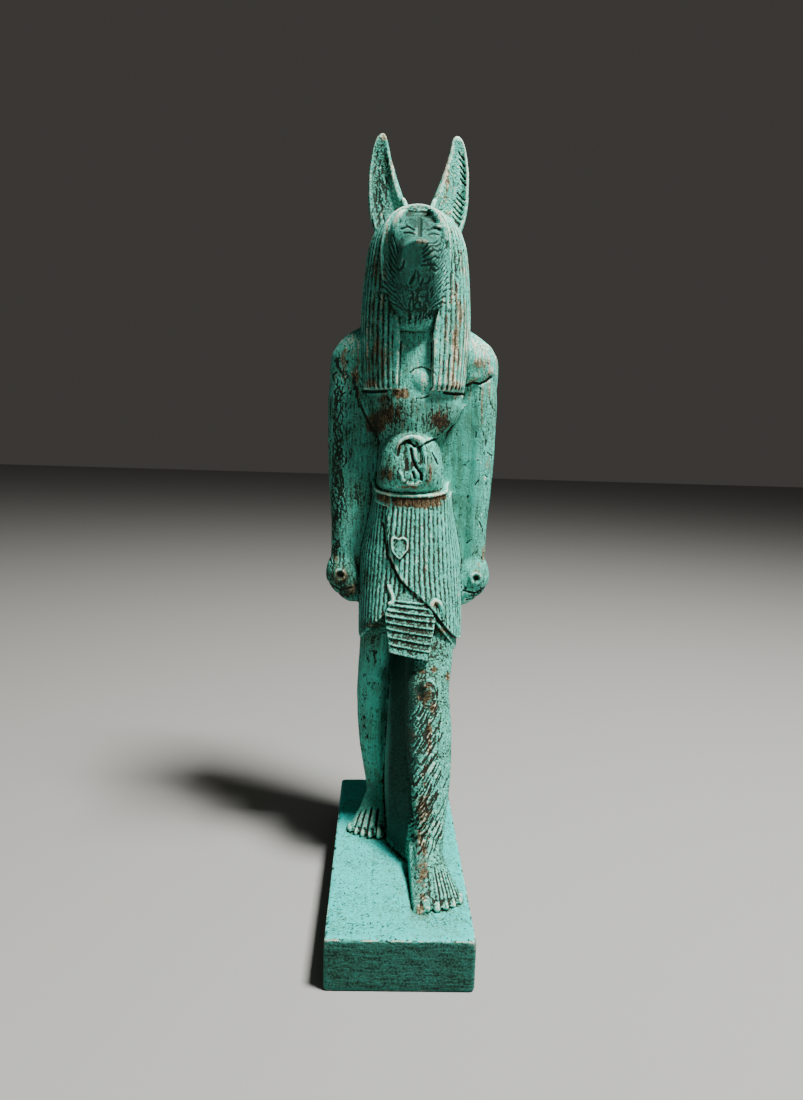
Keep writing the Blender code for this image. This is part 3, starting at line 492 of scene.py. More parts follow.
def legs():
    # Two columns with kneecaps, the feet, and the hollow wall left between the legs.
    addShell(column(leadingLeg, 180, 260))
    addShell(column(trailingLeg, 180, 260))
    ball((8.4, -33.2, 63.5), (3.6, 2.4, 5.4))
    ball((-12, -7.8, 63.5), (3.4, 2.4, 5.2))
    foot((9, -52.5), 1, 0.13)
    foot((-9.9, 0), -1, 0.18)
    z = np.concatenate([[-1.5], np.linspace(0, 97, 200)])
    stride = curve(leadingLeg, np.maximum(z, 0))[:, 1]
    corners = [(7, 0, 1), (1.9, 4.5, 1), (0.2, 8, 1), (-2.8, 14, 1), (-6, 20, 1),
               (-8.4, 14, 0), (3.4, 14, 0), (4.6, 14, 1)]
    edge = np.array([[(x, y + s * way, h) for x, y, way in corners] for s, h in zip(stride, z)])
    addShell(finer(edge, 24))
    wall = [(-83.4, 3.8, 1.6), (-82.4, 2.7, 2.6), (-76, 2.2, 3.8), (-66, 2, 5.4),
            (-58, 1.8, 8), (-51, 1.6, 11)]
    keys = levels(wall, 120)
    left, top = curve(wall, keys).T
    ones = np.ones_like(keys)
    corners = [(left, -1.5 * ones), (left, top - 1.2), (left + 1, top), (6.4 * ones, top),
               (6.4 * ones, -1.5 * ones)]
    addShell(finer(np.stack([np.stack([x, keys, z], -1) for x, z in corners], 1), 12))


def risen(grid, rows):
    # Adds rows between the rows of a grid, in straight lines.
    at = np.linspace(0, len(grid) - 1, rows)
    k = np.minimum(at.astype(int), len(grid) - 2)
    t = (at - k)[:, None, None]
    return grid[k] * (1 - t) + grid[k + 1] * t


def finer(grid, steps):
    # Adds evenly spaced points along every side of the rings.
    t = np.linspace(0, 1, steps, endpoint=False)[None, None, :, None]
    after = np.roll(grid, -1, 1)
    return (grid[:, :, None] * (1 - t) + after[:, :, None] * t).reshape(len(grid), -1, 3)


def slab(low, high, radius):
    # A box with rounded edges: rounded rectangles stacked up, drawn in at the top and bottom by
    # a quarter circle.
    lift = np.linspace(0, math.pi / 2, 12)
    inset = np.concatenate([radius * (1 - np.sin(lift)), radius * (1 - np.cos(lift))])
    z = np.concatenate([low[2] + radius * (1 - np.cos(lift)), high[2] - radius * (1 - np.sin(lift))])
    turn = np.linspace(0, math.pi / 2, 12)
    rings = []
    for pull, height in zip(inset, z):
        ring = []
        for quarter, (sx, sy) in enumerate(((1, -1), (1, 1), (-1, 1), (-1, -1))):
            a = turn + (quarter - 1) * math.pi / 2
            cx = (high[0] if sx > 0 else low[0]) - sx * (radius + pull)
            cy = (high[1] if sy > 0 else low[1]) - sy * (radius + pull)
            ring += [(cx + radius * c, cy + radius * s, height) for c, s in zip(np.cos(a), np.sin(a))]
        rings.append(ring)
    addShell(np.array(rings))


def plinth():
    # The plinth with rounded edges, and the pillar up the back.
    x, y, tall = statue["toFrame"]
    halfX, halfY = statue["plinthHalf"]
    slab((-halfX - x, -halfY - y, -tall), (halfX - x, halfY - y, 0), 1.1)
    slab(*statue["pillar"], 0.9)


def meshOf(name, points, quads, tris=None):
    # A mesh straight from whole arrays of points, quads and triangles.
    tris = np.zeros((0, 3), int) if tris is None else tris
    mesh = bpy.data.meshes.new(name)
    mesh.vertices.add(len(points))
    mesh.vertices.foreach_set("co", points.astype(np.float32).ravel())
    mesh.loops.add(quads.size + tris.size)
    mesh.loops.foreach_set("vertex_index", np.concatenate([quads.ravel(), tris.ravel()]).astype(np.int32))
    mesh.polygons.add(len(quads) + len(tris))
    starts = np.concatenate([np.arange(len(quads)) * 4, quads.size + np.arange(len(tris)) * 3])
    mesh.polygons.foreach_set("loop_start", starts.astype(np.int32))
    mesh.update(calc_edges=True)
    return mesh


def vertexNormals(points, quads):
    # Area-weighted: the cross of each quad's diagonals, summed at its corners.
    facing = np.cross(points[quads[:, 2]] - points[quads[:, 0]], points[quads[:, 3]] - points[quads[:, 1]])
    corner = quads.ravel()
    return unit(np.stack([np.bincount(corner, np.repeat(facing[:, k], 4), len(points))
                          for k in range(3)], -1))


def averaged(values, edges, times):
    # Each value moved half way to the mean of its neighbours, over and over.
    flat = values.reshape(len(values), -1)
    a, b = edges.T
    share = 1 / np.maximum(np.bincount(a, minlength=len(flat)) + np.bincount(b, minlength=len(flat)), 1)
    for _ in range(times):
        total = np.stack([np.bincount(a, flat[b, k], len(flat)) + np.bincount(b, flat[a, k], len(flat))
                          for k in range(flat.shape[1])], -1)
        flat = 0.5 * flat + 0.5 * total * share[:, None]
    return flat.reshape(values.shape)


def noiseAt(points, size, seed):
    # Seeded value noise from 0 to 1: random values on a cubic lattice `size` apart, blended with
    # smooth steps between the eight corners round each point.
    table = np.random.default_rng(seed).random((32, 32, 32))
    cell = points / np.asarray(size, float)
    base = np.floor(cell).astype(int)
    f = cell - base
    f = f * f * (3 - 2 * f)
    total = 0.0
    for corner in range(8):
        step = np.array([corner & 1, corner >> 1 & 1, corner >> 2 & 1])
        weight = np.prod(np.where(step, f, 1 - f), axis=1)
        at = (base + step) % 32
        total = total + weight * table[at[:, 0], at[:, 1], at[:, 2]]
    return total


def shownMesh(thing):
    # The arrays of an object's mesh with its modifiers applied.
    made = thing.evaluated_get(bpy.context.evaluated_depsgraph_get()).to_mesh()
    points = np.empty(len(made.vertices) * 3, np.float32)
    made.vertices.foreach_get("co", points)
    corner = np.empty(len(made.loops), np.int32)
    made.loops.foreach_get("vertex_index", corner)
    edges = np.empty(len(made.edges) * 2, np.int32)
    made.edges.foreach_get("vertices", edges)
    return points.reshape(-1, 3).astype(float), corner.reshape(-1, 4), edges.reshape(-1, 2), made


def objectOf(name, mesh):
    thing = bpy.data.objects.new(name, mesh)
    bpy.context.scene.collection.objects.link(thing)
    return thing


def oneSkin():
    # Gives all the closed forms one outer skin of small quads, and carries the forms' labels over
    # to it from the nearest point of their surfaces.
    source = meshOf("forms", *(np.vstack(shells[part]) for part in ("points", "quads", "tris")))
    labels = source.color_attributes.new("labels", "FLOAT_COLOR", "POINT")
    labels.data.foreach_set("color", np.vstack(shells["labels"]).astype(np.float32).ravel())
    forms = objectOf("forms", source)
    remesh = forms.modifiers.new("skin", "REMESH")
    remesh.mode = "VOXEL"
    remesh.voxel_size = statue["voxel"]
    points, quads, edges, _ = shownMesh(forms)
    forms.modifiers.clear()
    skin = objectOf("skin", meshOf("skin", points, quads))
    skin.data.color_attributes.new("labels", "FLOAT_COLOR", "POINT")
    carry = skin.modifiers.new("labels", "DATA_TRANSFER")
    carry.object = forms
    carry.use_vert_data = True
    carry.data_types_verts = {"COLOR_VERTEX"}
    carry.vert_mapping = "POLYINTERP_NEAREST"
    carry.layers_vcol_vert_select_src = "ALL"
    carry.layers_vcol_vert_select_dst = "NAME"
    made = shownMesh(skin)[3]
    values = np.empty(len(points) * 4, np.float32)
    made.color_attributes["labels"].data.foreach_get("color", values)
    values = values.reshape(-1, 4)
    for thing in (forms, skin):
        bpy.data.objects.remove(thing)
    return points, quads, edges, values


for build in (body, head, faceBand, kilt, apron, legs, plinth):
    build()
print("forms", shells["count"])
points, quads, edges, labels = oneSkin()
print("skin", len(points))
soft = ramp(labels[:, 1], 0.3, 0.9)[:, None]
points = points + (averaged(points, edges, 10) - points) * soft
normals = vertexNormals(points, quads)
carved = 0.8 * labels[:, 0]
side, depth, height = points.T.copy()


def nearness(line, width, where, seenAlong=1):
    # How near each point lies to a broken line drawn on a view along X (0) or Y (1): a bell of
    # the distance over the width, the distance signed by the side, and the reach past the ends.
    u = (depth if seenAlong == 0 else side)[where]
    v = height[where]
    gap, sign, past = np.full(len(u), 1e9), np.ones(len(u)), np.zeros(len(u))
    for (ax, az), (bx, bz) in zip(line[:-1], line[1:]):
        dx, dz = bx - ax, bz - az
        free = ((u - ax) * dx + (v - az) * dz) / (dx * dx + dz * dz)
        t = np.clip(free, 0, 1)
        new = (u - ax - t * dx) ** 2 + (v - az - t * dz) ** 2
        sign = np.where(new < gap, np.sign(dx * (v - az) - dz * (u - ax)), sign)
        past = np.where(new < gap, np.abs(free - t) * math.hypot(dx, dz), past)
        gap = np.minimum(gap, new)
    return np.exp(-gap / width**2), np.sqrt(gap) * sign, past


def frontPart(low, high, backTo=99):
    # The skin that faces forward inside a box seen from the front.
    return np.flatnonzero((normals[:, 1] < 0.15) & (side > low[0]) & (side < high[0])
                          & (height > low[1]) & (height < high[1]) & (depth < backTo))


def carve(lines, rise, width, where, dark=0.8, seenAlong=1):
    # Sinks the skin along broken lines, or raises it where the rise is positive.
    total = np.zeros(len(where))
    for line in lines:
        total = np.maximum(total, nearness(line, width, where, seenAlong)[0])
    points[where] += normals[where] * (total * rise)[:, None]
    if rise < 0:
        carved[where] = np.maximum(carved[where], total * dark)


def ledge(line, rise, fade, where):
    # Raises the skin on the left of a line as it runs, most at the line and less away from it.
    _, across, past = nearness(line, 1, where)
    lift = rise * ramp(across, -0.4, 0.4) * np.exp(-np.maximum(across, 0) / fade - (past / 2.5) ** 2)
    points[where] += normals[where] * (lift * ramp(181 - height[where], 0, 5))[:, None]


def fan(start, end, count, first, last):
    # Lines side by side: each runs from a point between the two starts to one between the ends.
    return [[tuple(np.array(start) * (1 - t) + np.array(end) * t),
             tuple(np.array(first) * (1 - t) + np.array(last) * t)] for t in np.linspace(0, 1, count)]


chance = np.random.default_rng(statue["seed"])


def carveFace():
    # The furrow, brow and eye slits, whiskers beside the muzzle, hair fanned over the jaw and
    # seeded strokes below the chin, then the mouth and the fanned hair on both cheeks.
    face = frontPart((-12.5, 205.5), (12.5, 249), -13)
    carve([[(-0.2, 246), (-0.3, 240.8), (-0.4, 236.4)]], -0.9, 0.8, face, 1)
    carve([[(-3.5, 247), (3.4, 247.2)]], -1, 2, face, 0.4)
    slits = [[(-7.2, 240), (-4.8, 240.6), (-2.6, 239)], [(-6.2, 238), (-4.4, 237.9), (-2.6, 236.8)],
             [(2.6, 239.2), (5.1, 240.7), (7.5, 240.9)], [(3, 237.2), (5.1, 238.3), (7.2, 238.6)]]
    carve(slits, -0.5, 0.36, face, 0.9)
    whiskers = [[(0.3, 227.4), (3.6, 230.1), (8, 235.1)], [(0.7, 226.4), (3.9, 228.2), (8, 232.6)],
                [(0.8, 225), (4, 226.1), (7.6, 229.3)], [(0.1, 223.7), (3.4, 224.1), (6.7, 225.3)],
                [(0.5, 228.6), (3.4, 231.6), (6.5, 235.4)]]
    carve(whiskers, -0.35, 0.3, face, 0.7)
    jaw = fan((10.2, 235), (9.4, 213), 13, (5.4, 226), (3.4, 208))
    jaw += fan((-10.4, 236.6), (-9, 213), 11, (-8.6, 224), (-3.4, 208.5))
    carve(jaw, -0.16, 0.24, face, 0.38)
    for _ in range(statue["chinStrokes"]):
        x, z = chance.uniform(-3.5, 6), chance.uniform(209, 222)
        lean, reach = chance.uniform(-1.2, 0.6), chance.uniform(1, 2.6)
        carve([[(x, z), (x + lean, z - reach)]], -0.4, 0.36, face, 0.9)
    for way in (-1, 1):
        onCheek = (height > 205) & (height < 245) & (depth < -12)
        cheek = np.flatnonzero((normals[:, 0] * way > 0.35) & onCheek)
        carve([[(-40.5, 225.4), (-36, 223.6), (-30, 223.4), (-26, 225)]], -0.5, 0.45, cheek, 0.9, 0)
        hair = fan((-27, 230), (-20, 212), 12, (-20, 238), (-14.5, 216))
        carve(hair, -0.2, 0.3, cheek, 0.5, 0)


def carveEars():
    # Slanting strokes down one ear's hollow and seeded upright ones down the other's.
    ears = frontPart((9, 238), (22, 281), 8)
    strokes = [[(15.3 + 0.32 * k + chance.normal(0, 0.2), 276.2 - 2.5 * k),
                (17.7 + 0.22 * k, 273.4 - 2.5 * k)] for k in range(5)]
    strokes += [[(15.6 - 0.36 * k + chance.normal(0, 0.2), 260.6 - 1.9 * k),
                 (18.3 - 0.36 * k, 257.6 - 1.9 * k)] for k in range(6)]
    strokes += [[(14.7, 249.3), (16.4, 247.9), (15.6, 246.1), (14.4, 246.6)]]
    carve(strokes, -0.3, 0.34, ears, 0.75)
    ears = frontPart((-22, 238), (-8, 281), 8)
    for _ in range(statue["earStrokes"]):
        z = chance.uniform(246, 276)
        x = -15.6 - 0.045 * (262 - z) + chance.uniform(-2.6, 2.6)
        lean, reach = chance.uniform(-0.8, 0.5), chance.uniform(1.4, 3.4)
        carve([[(x, z), (x + lean, z - reach)]], -0.22, 0.3, ears, 0.7)


def carveTrunk():
    # Ledges and lines under both breasts, the shadow line under each lappet, faint creases
    # beside the belly and the outlines on the breastbone.
    trunk = frontPart((-24, 140), (24, 181.5), 5)
    pecRight = [(4.4, 159.9), (7.4, 161.3), (10.4, 163.1), (13.2, 165.3), (15.8, 167.9),
                (18, 170.6), (19.8, 173.4)]
    pecLeft = [(-21, 175), (-19.6, 171.6), (-17.8, 168.4), (-15.8, 165.4), (-14.2, 162.8)]
    ledge(pecRight, 1, 6, trunk)
    ledge(pecLeft, 0.8, 5, trunk)
    carve([pecRight[:5]], -0.7, 0.45, trunk, 1)
    carve([pecLeft], -0.4, 0.9, trunk, 0.5)
    # The dark in these grooves is painted shadow under each lappet's end
    underLappets = [[(-20.6, 180.4), (-16.4, 179.9), (-11.4, 180.1)],
                    [(11.8, 180.2), (16, 179.9), (20.2, 180.3)]]
    carve(underLappets, -0.7, 0.42, trunk, 0.9)
    creases = [[(-13.8, 160), (-13.9, 154), (-14.3, 146)], [(-15.6, 158), (-15.9, 148)]]
    carve(creases, -0.15, 0.4, trunk, 0.3)
    middle = frontPart((-8, 175), (9, 200), -8)
    roundTheBoss = [[(-2, 187.6), (-0.4, 189), (1.9, 189.8), (4.2, 189.6), (6.2, 188.6), (8, 186.6)],
                    [(0.8, 177.5), (3.2, 177.7), (5.6, 178.8)]]
    carve(roundTheBoss, -0.25, 0.34, middle, 0.42)
    besideTheBars = [[(-5.6, 206), (-6.2, 194), (-6.4, 182)], [(6.2, 206), (6.4, 194), (6.8, 182)]]
    carve(besideTheBars, -0.4, 0.35, middle)


def carveBelly():
    # The hollow inside the fold, its lips, the long bent groove and short cuts beside it.
    boss = frontPart((-16, 140.5), (14, 165), -2)
    carve([[(-3.2, 155.4), (-2.6, 150)]], -1, 2.4, boss, 0)
    carve([[(-6.2, 155.2), (-5.2, 158.9), (-3.1, 160.7), (-1.6, 160.4)]], -0.5, 0.6, boss, 0.8)
    carve([[(-4.6, 148.2), (-3.8, 145.8), (-1.2, 144.2), (1.4, 144), (3.3, 144.9)]], 0.9, 0.7, boss)
    grooves = [[(-1.7, 160.9), (0.6, 158.8)], [(0.2, 148.6), (0.9, 146.4)],
               [(-0.9, 157.8), (-0.2, 154.2), (1.2, 150.9), (3.2, 148.3), (3.5, 146)]]
    carve(grooves, -0.9, 0.5, boss, 1)
    carve([[(0.6, 157.6), (1.2, 154), (3, 151)]], 0.4, 0.9, boss)
    carve([[(7.9, 156.4), (10.2, 152.1)], [(12.3, 149.9), (12.9, 147.2)]], -0.5, 0.35, boss, 0.8)


def carveArms():
    # The crease in the shoulder, seeded nicks down both arms and the lines of the fists.
    limbs = frontPart((-36, 88), (36, 200), 4)
    carve([[(21.5, 184), (24, 185.2), (27, 184.9), (29.4, 186), (31.4, 187.8)]], -0.6, 0.5, limbs, 0.9)
    carve([[(23, 187.4), (27, 187.2), (31, 190)]], 0.6, 1.5, limbs)
    carve([[(27.1, 183), (26.8, 178.3)], [(-24.6, 187), (-22, 174)]], -0.25, 0.5, limbs, 0.3)
    for _ in range(statue["darkArmNicks"]):
        x, z = -30.4 + chance.normal(0, 1.6), chance.uniform(110, 190)
        lean, bend = chance.normal(0, 0.8), chance.uniform(0.8, 3.4)
        end = (x + lean + chance.normal(0, 0.7), z - 3.6)
        carve([[(x, z), (x + lean, z - bend), end]], -0.16, chance.uniform(0.18, 0.34), limbs, 0.85)
    for _ in range(statue["litArmNicks"]):
        x, z = 29 + chance.normal(0, 2.4), chance.uniform(112, 178)
        lean, reach = chance.normal(0, 1), chance.uniform(0.6, 2.6)
        carve([[(x, z), (x + lean, z - reach)]], -0.14, 0.26, limbs, 0.8)
    for way in (-1, 1):
        x = 28.1 * way
        fingers = [[(x + way * 4.8, 101.2), (x, 98.8), (x - way * 4.8, 99.8)],
                   [(x + way, 96.6), (x - way * 3.2, 95.6)]]
        carve(fingers, -0.45, 0.5, limbs, 0.8)


def carveKilt():
    # The groove along the outer layer's slanting edge.
    kiltFront = frontPart((-14, 88), (20, 132), -10)
    flap = [(x - 0.5, z - 0.4) for x, z in flapLine[1:-1]]
    carve([flap], -0.4, 0.45, kiltFront, 1)


def carveShin():
    # Seeded slanting strokes down the shin, and short ones laid round the kneecap's oval.
    shin = frontPart((-2, 8), (19, 80), -18)
    for _ in range(statue["shinStrokes"]):
        z = chance.uniform(12, 57)
        x = 7.6 + chance.normal(0, 3.4)
        reach, lean = chance.uniform(1.2, 4.6), chance.uniform(0.6, 1.1)
        carve([[(x + reach * 0.25, z + reach * 0.5), (x, z), (x - reach * 0.45 * lean, z - reach * 0.5)]],
              -0.2, chance.uniform(0.18, 0.36), shin, chance.uniform(0.5, 1))
    carve([[(12.6, 58), (13.4, 55.8), (12.9, 52), (12.4, 47)]], -0.15, 0.22, shin, 0.45)
    for _ in range(statue["kneeStrokes"]):
        turn, out = chance.uniform(-0.4, 2.4) * math.pi, chance.normal(1, 0.22)
        x, z = 8.2 + 3.3 * out * math.cos(turn), 62.4 + 4.6 * out * math.sin(turn)
        start = (x - 0.5 * math.sin(turn), z + 0.7 * math.cos(turn))
        end = (x + 0.4 * math.sin(turn), z - 0.5 * math.cos(turn))
        carve([[start, end]], -0.16, 0.34, shin, 0.6)


def footGrooves(ankle, way, turnOut, start, sink, width, lines):
    # Grooves that fan back from between the toes, drawn from above, and the nails' rims.
    reach = -(depth - ankle[1])
    across = (side - ankle[0]) * way - turnOut * reach
    on = (reach > 2) & (reach < 34) & (np.abs(across) < 10.5) & (height > 0.6) & (height < 17)
    total = np.zeros(len(points))
    for at, wide in lines:
        total = np.maximum(total, wide * np.exp(-((across - at * (0.45 + 0.55 * reach / 26)) / width) ** 2))
    total = total * on * ramp(reach, start, start + 7)
    points[:] -= normals * (total * sink)[:, None]
    carved[:] = np.maximum(carved, total * 0.85)
    for outwardBy, far, radius in toes:
        gap = np.hypot((across - outwardBy) / radius, (reach - far + 1.2) / (radius * 1.1))
        rim = np.exp(-((gap - 0.8) / 0.22) ** 2) * on * (normals[:, 2] > 0.3)
        points[:] -= normals * (rim * 0.16)[:, None]


def carveFeet():
    # The leading foot has fine grooves beside the deep ones, the trailing foot deep ones alone.
    footGrooves((9, -52.5), 1, 0.13, 11, 0.32, 0.32, (
        (-4, 0.5), (-1.9, 0.4), (-0.6, 0.9), (0.9, 0.6), (2.5, 1), (3.9, 0.6), (5.4, 1), (6.8, 0.6)))
    footGrooves((-9.9, 0), -1, 0.18, 14, 0.7, 0.55, ((-4, 1), (-0.6, 1), (2.5, 1), (5.4, 1)))


def plinthRim():
    # How far each point lies from the nearest upper edge of the plinth.
    shiftX, shiftY, _ = statue["toFrame"]
    halfX, halfY = statue["plinthHalf"]
    inward = np.minimum(halfX - np.abs(side + shiftX), halfY - np.abs(depth + shiftY))
    return np.hypot(inward, np.minimum(height, 0))


def roughen():
    # The unevenness of hand work, less on the flat faces.
    onFlat = (height < -0.4) | (normals[:, 1] > 0.4)
    wobble = noiseAt(points, 6, 3) - 0.5 + 0.6 * (noiseAt(points, 2.4, 4) - 0.5)
    points[:] += normals * (wobble * np.where(onFlat, statue["wobbleOnFlats"], statue["wobble"]))[:, None]


def nick():
    # Nicks out of the plinth's upper edges, where two seeded noises together run high.
    rough = noiseAt(points, 2.6, 8) + 0.5 * noiseAt(points, 1.1, 9)
    nicks = np.exp(-(rimGap / 0.9) ** 2) * ramp(rough, 0.78, 1.05)
    nicks = nicks * (height < 0.3) * (height > -2.5)
    points[:] -= normals * (nicks * statue["nickDepth"])[:, None]
    return nicks


for build in (carveFace, carveEars, carveTrunk, carveBelly, carveArms, carveKilt, carveShin, carveFeet,
              roughen):
    build()
rimGap = plinthRim()
nicked = nick()
print("carved", round(float(carved.mean()), 4))

# How far each point stands out from its near and from its wider surroundings
normals = vertexNormals(points, quads)
near = averaged(points, edges, 5)
far = averaged(near, edges, 36)
convex = np.einsum("ij,ij->i", points - near, normals)
bulge = np.einsum("ij,ij->i", points - far, normals)
front = normals[:, 1] < 0.3


# Paint seen from the front, as rows of x, z, half width, half height and strength. Rubbed through
# to brown: nose, breast, belly, belt, lappets, shoulders, fists, knee, shin, feet and ears.
brownSpots = [
    (-0.2, 230.9, 3.2, 1.5, 1.4), (-13, 177, 5, 4.5, 0.8), (-15, 168, 4.2, 5.5, 1.7), (-9, 172, 9, 6, 0.92),
    (-5, 179.3, 4, 2.4, 1.7), (10, 169.5, 9, 5.5, 0.95), (17, 171.5, 3, 4, 1.1), (4, 172, 6, 4, 0.6),
    (-10.5, 147, 4.8, 4, 1), (7, 148, 4, 6, 0.75), (-5.5, 158.4, 1.6, 2.2, 1.1), (0, 142.6, 6, 1.2, 1.1),
    (5.5, 150, 2, 6, 0.75), (2, 136.4, 15, 2.6, 1.5), (-12, 138, 5, 2.6, 1), (12, 139, 5, 2.6, 1.2),
    (-17, 183, 3.6, 2.4, 1.25), (16.5, 183, 3.6, 2.6, 1.3), (-13.2, 189, 1.3, 12, 1),
    (-17.6, 192, 1, 12, 1), (-15.5, 205, 1.2, 14, 0.75), (-17, 216, 1.6, 9, 0.6), (14, 192, 0.9, 9, 0.9),
    (17.4, 200, 1.2, 14, 0.75), (26.5, 193, 4.5, 4.5, 1.05), (29.5, 189, 2.6, 2.6, 1),
    (-26, 196, 5, 2.6, 0.9), (-23.6, 187, 1.8, 5.5, 1.1), (-22.6, 180, 1.6, 4, 0.9),
    (-28, 105, 5.4, 5.4, 1), (-24, 99, 4.5, 3.5, 1), (-30.5, 112, 2.5, 5, 0.9), (28.6, 108, 4, 5, 0.8),
    (32, 154, 1.8, 7, 0.85), (31.6, 116, 1.6, 8, 0.8), (6, 62.6, 2.6, 4.6, 1.15),
    (10.4, 58.6, 2, 2.6, 1.15), (8, 66.6, 3.4, 1.6, 1.2), (7.5, 63, 5, 6, 0.85), (5.6, 7, 3.4, 5, 0.85),
    (6.4, 70.2, 4, 1.2, 1.1), (11, 71.6, 2.4, 1.5, 1.2), (2, 48, 2.2, 3.4, 1.1), (1, 41, 2, 3, 0.9),
    (8.8, 48, 1.4, 8, 1.3), (7.4, 36, 2.6, 6, 0.85), (7, 23, 4, 9, 0.95), (6.4, 13, 3.6, 6, 0.92),
    (16.4, 68, 1.2, 3, 1.1), (4.6, 2, 2.2, 2, 1.2), (6, 4, 2, 1.6, 0.9), (-15.8, 20, 1.6, 9, 1.1),
    (-16.4, 12, 1.3, 5, 0.9), (-12.5, 72.5, 5, 1.2, 1.2), (-15.4, 66, 1.4, 3, 1),
    (-11.3, 270, 1.1, 14, 0.9), (10.8, 266, 1.9, 15, 1.05), (-9, 92, 3.6, 2.6, 0.9),
    (10.2, 97, 2.6, 2.2, 1.1), (-14.5, 281, 3, 2.5, 1), (6.5, 108, 0.6, 12, 0.8), (11, 112, 0.6, 14, 0.8),
    (2.4, 118, 0.5, 12, 0.6), (14, 86, 4, 2, 1), (-14, 87, 4, 1.8, 0.9)]
# Chipped to the dark ground
chipSpots = [
    (11, 78, 6, 8, 0.7), (-30.2, 152, 2.4, 16, 1), (-30.6, 175, 2.2, 12, 1), (-31, 128, 1.8, 10, 1),
    (31.4, 132, 1.4, 12, 0.6), (-14, 72, 3.4, 3.6, 0.9), (-14, 60, 4, 9, 0.6), (-17, 40, 2.6, 24, 0.6),
    (8, 50, 6.5, 22, 0.5), (-30, 190, 4, 8, 0.7), (-26, 99, 6, 6, 1.1), (28, 99, 6, 5, 0.9),
    (1, 213, 9, 9, 0.9), (5, 226, 6, 10, 0.6), (14.5, 228, 2.4, 9, 0.9), (-17, 262, 3.4, 16, 0.3),
    (0, 151, 10, 8, 0.7), (0, 243, 9, 6, 0.9), (-9, 103, 3, 5, 0.8), (12, 90, 6, 4, 0.9),
    (-14, 88, 5, 3, 0.9), (-24, 181, 2, 7, 1), (-15, 165, 3, 5, 0.9), (-9, 119, 1.4, 10, 0.7)]
# Brushed pale
paleSpots = [
    (0, 250.4, 7, 1.2, 1.2), (-10.5, 268, 0.9, 16, 1), (9.4, 268, 1.2, 14, 0.7), (-7.6, 245, 1.6, 3.4, 0.9),
    (7.4, 243, 1.6, 5, 0.9), (26, 199, 8, 4.5, 1.1), (-26, 199, 8, 4, 1.2), (-29, 189, 4, 9, 0.6),
    (-0.4, 144.4, 3.2, 0.8, 1.6), (3.3, 184.6, 4, 4.4, 0.7), (0, 139.8, 17, 0.7, 1.2),
    (-7, 98, 1.4, 2.2, 1.2), (9.6, 97, 1.6, 1.6, 1.2), (16.5, 184.6, 3.2, 1.4, 1.2), (16.5, 194, 3, 9, 0.5),
    (-19.4, 196, 1, 12, 0.6), (8.6, 17, 3, 5, 0.7), (20.6, 176, 0.8, 4, 0.9)]
# Painted shade, over darker paint, on the face alone
faceShadeSpots = [
    (-0.6, 243, 7, 6.6, 1), (-1.5, 226, 8, 9, 0.8), (-7, 219, 7.5, 16, 0.72), (3, 214, 7, 9, 0.8),
    (7, 231, 4.5, 9, 0.74)]
# Dimmed
dimSpots = [
    (-8, 171, 10, 7, 0.58), (10, 170, 9, 6, 0.6), (-9, 149, 7, 6, 0.26), (0, 137.5, 16, 3.4, 0.5),
    (0, 151, 9, 8, 0.28), (-15, 262, 5, 20, 0.28), (7, 64, 7, 9, 0.46), (6, 36, 6, 24, 0.26),
    (10, 79, 8, 9, 0.28), (-13, 86, 5, 2.2, 0.45), (-8.5, 90, 3.5, 2.4, 0.5), (12.5, 89.5, 4, 2.2, 0.4),
    (17, 84.5, 3, 2.4, 0.4), (-28, 101, 6, 7, 0.28), (28, 101, 6, 6, 0.22), (-31, 150, 2.6, 46, 0.26),
    (-16, 205, 5, 30, 0.2), (16, 218, 4, 18, 0.12), (0.5, 85, 10, 11, 0.58), (-14, 79, 6, 6, 0.22),
    (6, 112, 14, 18, 0.1), (0, 196, 6, 9, 0.18), (8, 16, 4, 10, 0.25), (7, 5, 8, 9, 0.28)]


def patches(rows, where=None):
    # Soft oval patches, the strongest where they overlap: strength times a bell of the distance.
    total = np.zeros(len(points))
    for x, z, wide, tall, strength in rows:
        total = np.maximum(total, strength * np.exp(-((side - x) / wide) ** 2 - ((height - z) / tall) ** 2))
    return total * (front if where is None else where)


def paintedShadePlaces():
    # Painted shade, over darker paint on the face: the face inside its opening but for the lit lobes
    # beside the brow, the walls between the legs, the legs' sides turned from the light and, weakly,
    # the side away from the light.
    dark = patches(faceShadeSpots, front & (depth < -12))
    middle, halfWidth = curve(faceOpening, np.clip(height, 204, 248.6)).T
    dark = np.maximum(dark, 0.74 * ramp(halfWidth + 0.6 - np.abs(side - middle), 0, 1.4) * front
                      * ramp(height, 203, 211) * ramp(249.5 - height, 0, 1.5) * (depth < -13.5))
    dark *= 1 - patches([(-8.6, 243.5, 2.3, 6, 0.95), (7.8, 243.6, 1.6, 5, 0.5), (-9.6, 234, 1.4, 6, 0.5)])
    turned = normals[:, 0]
    # Painted shade on the walls between the legs and on the legs' sides that face away from the key light
    inner = 0.92 * ramp(-turned, 0.25, 0.65) * ramp(side, -8, -5) * ramp(10 - side, 0, 3) * (depth > -46)
    inner = np.maximum(inner, ramp(side, -8, -5) * ramp(5 - side, 0, 3) * (depth > -14) * front)
    inner = np.maximum(inner, 0.85 * ramp(turned, 0.15, 0.7) * ramp(side, -15, -10) * ramp(-4 - side, 0, 2))
    dark = np.maximum(dark, inner * ramp(height, 0.8, 3) * ramp(86 - height, 0, 4))
    # Painted shade, weak, over the side away from the light
    return np.maximum(dark, 0.35 * ramp(-side, 6, 16) * ramp(height, 30, 110) * front)


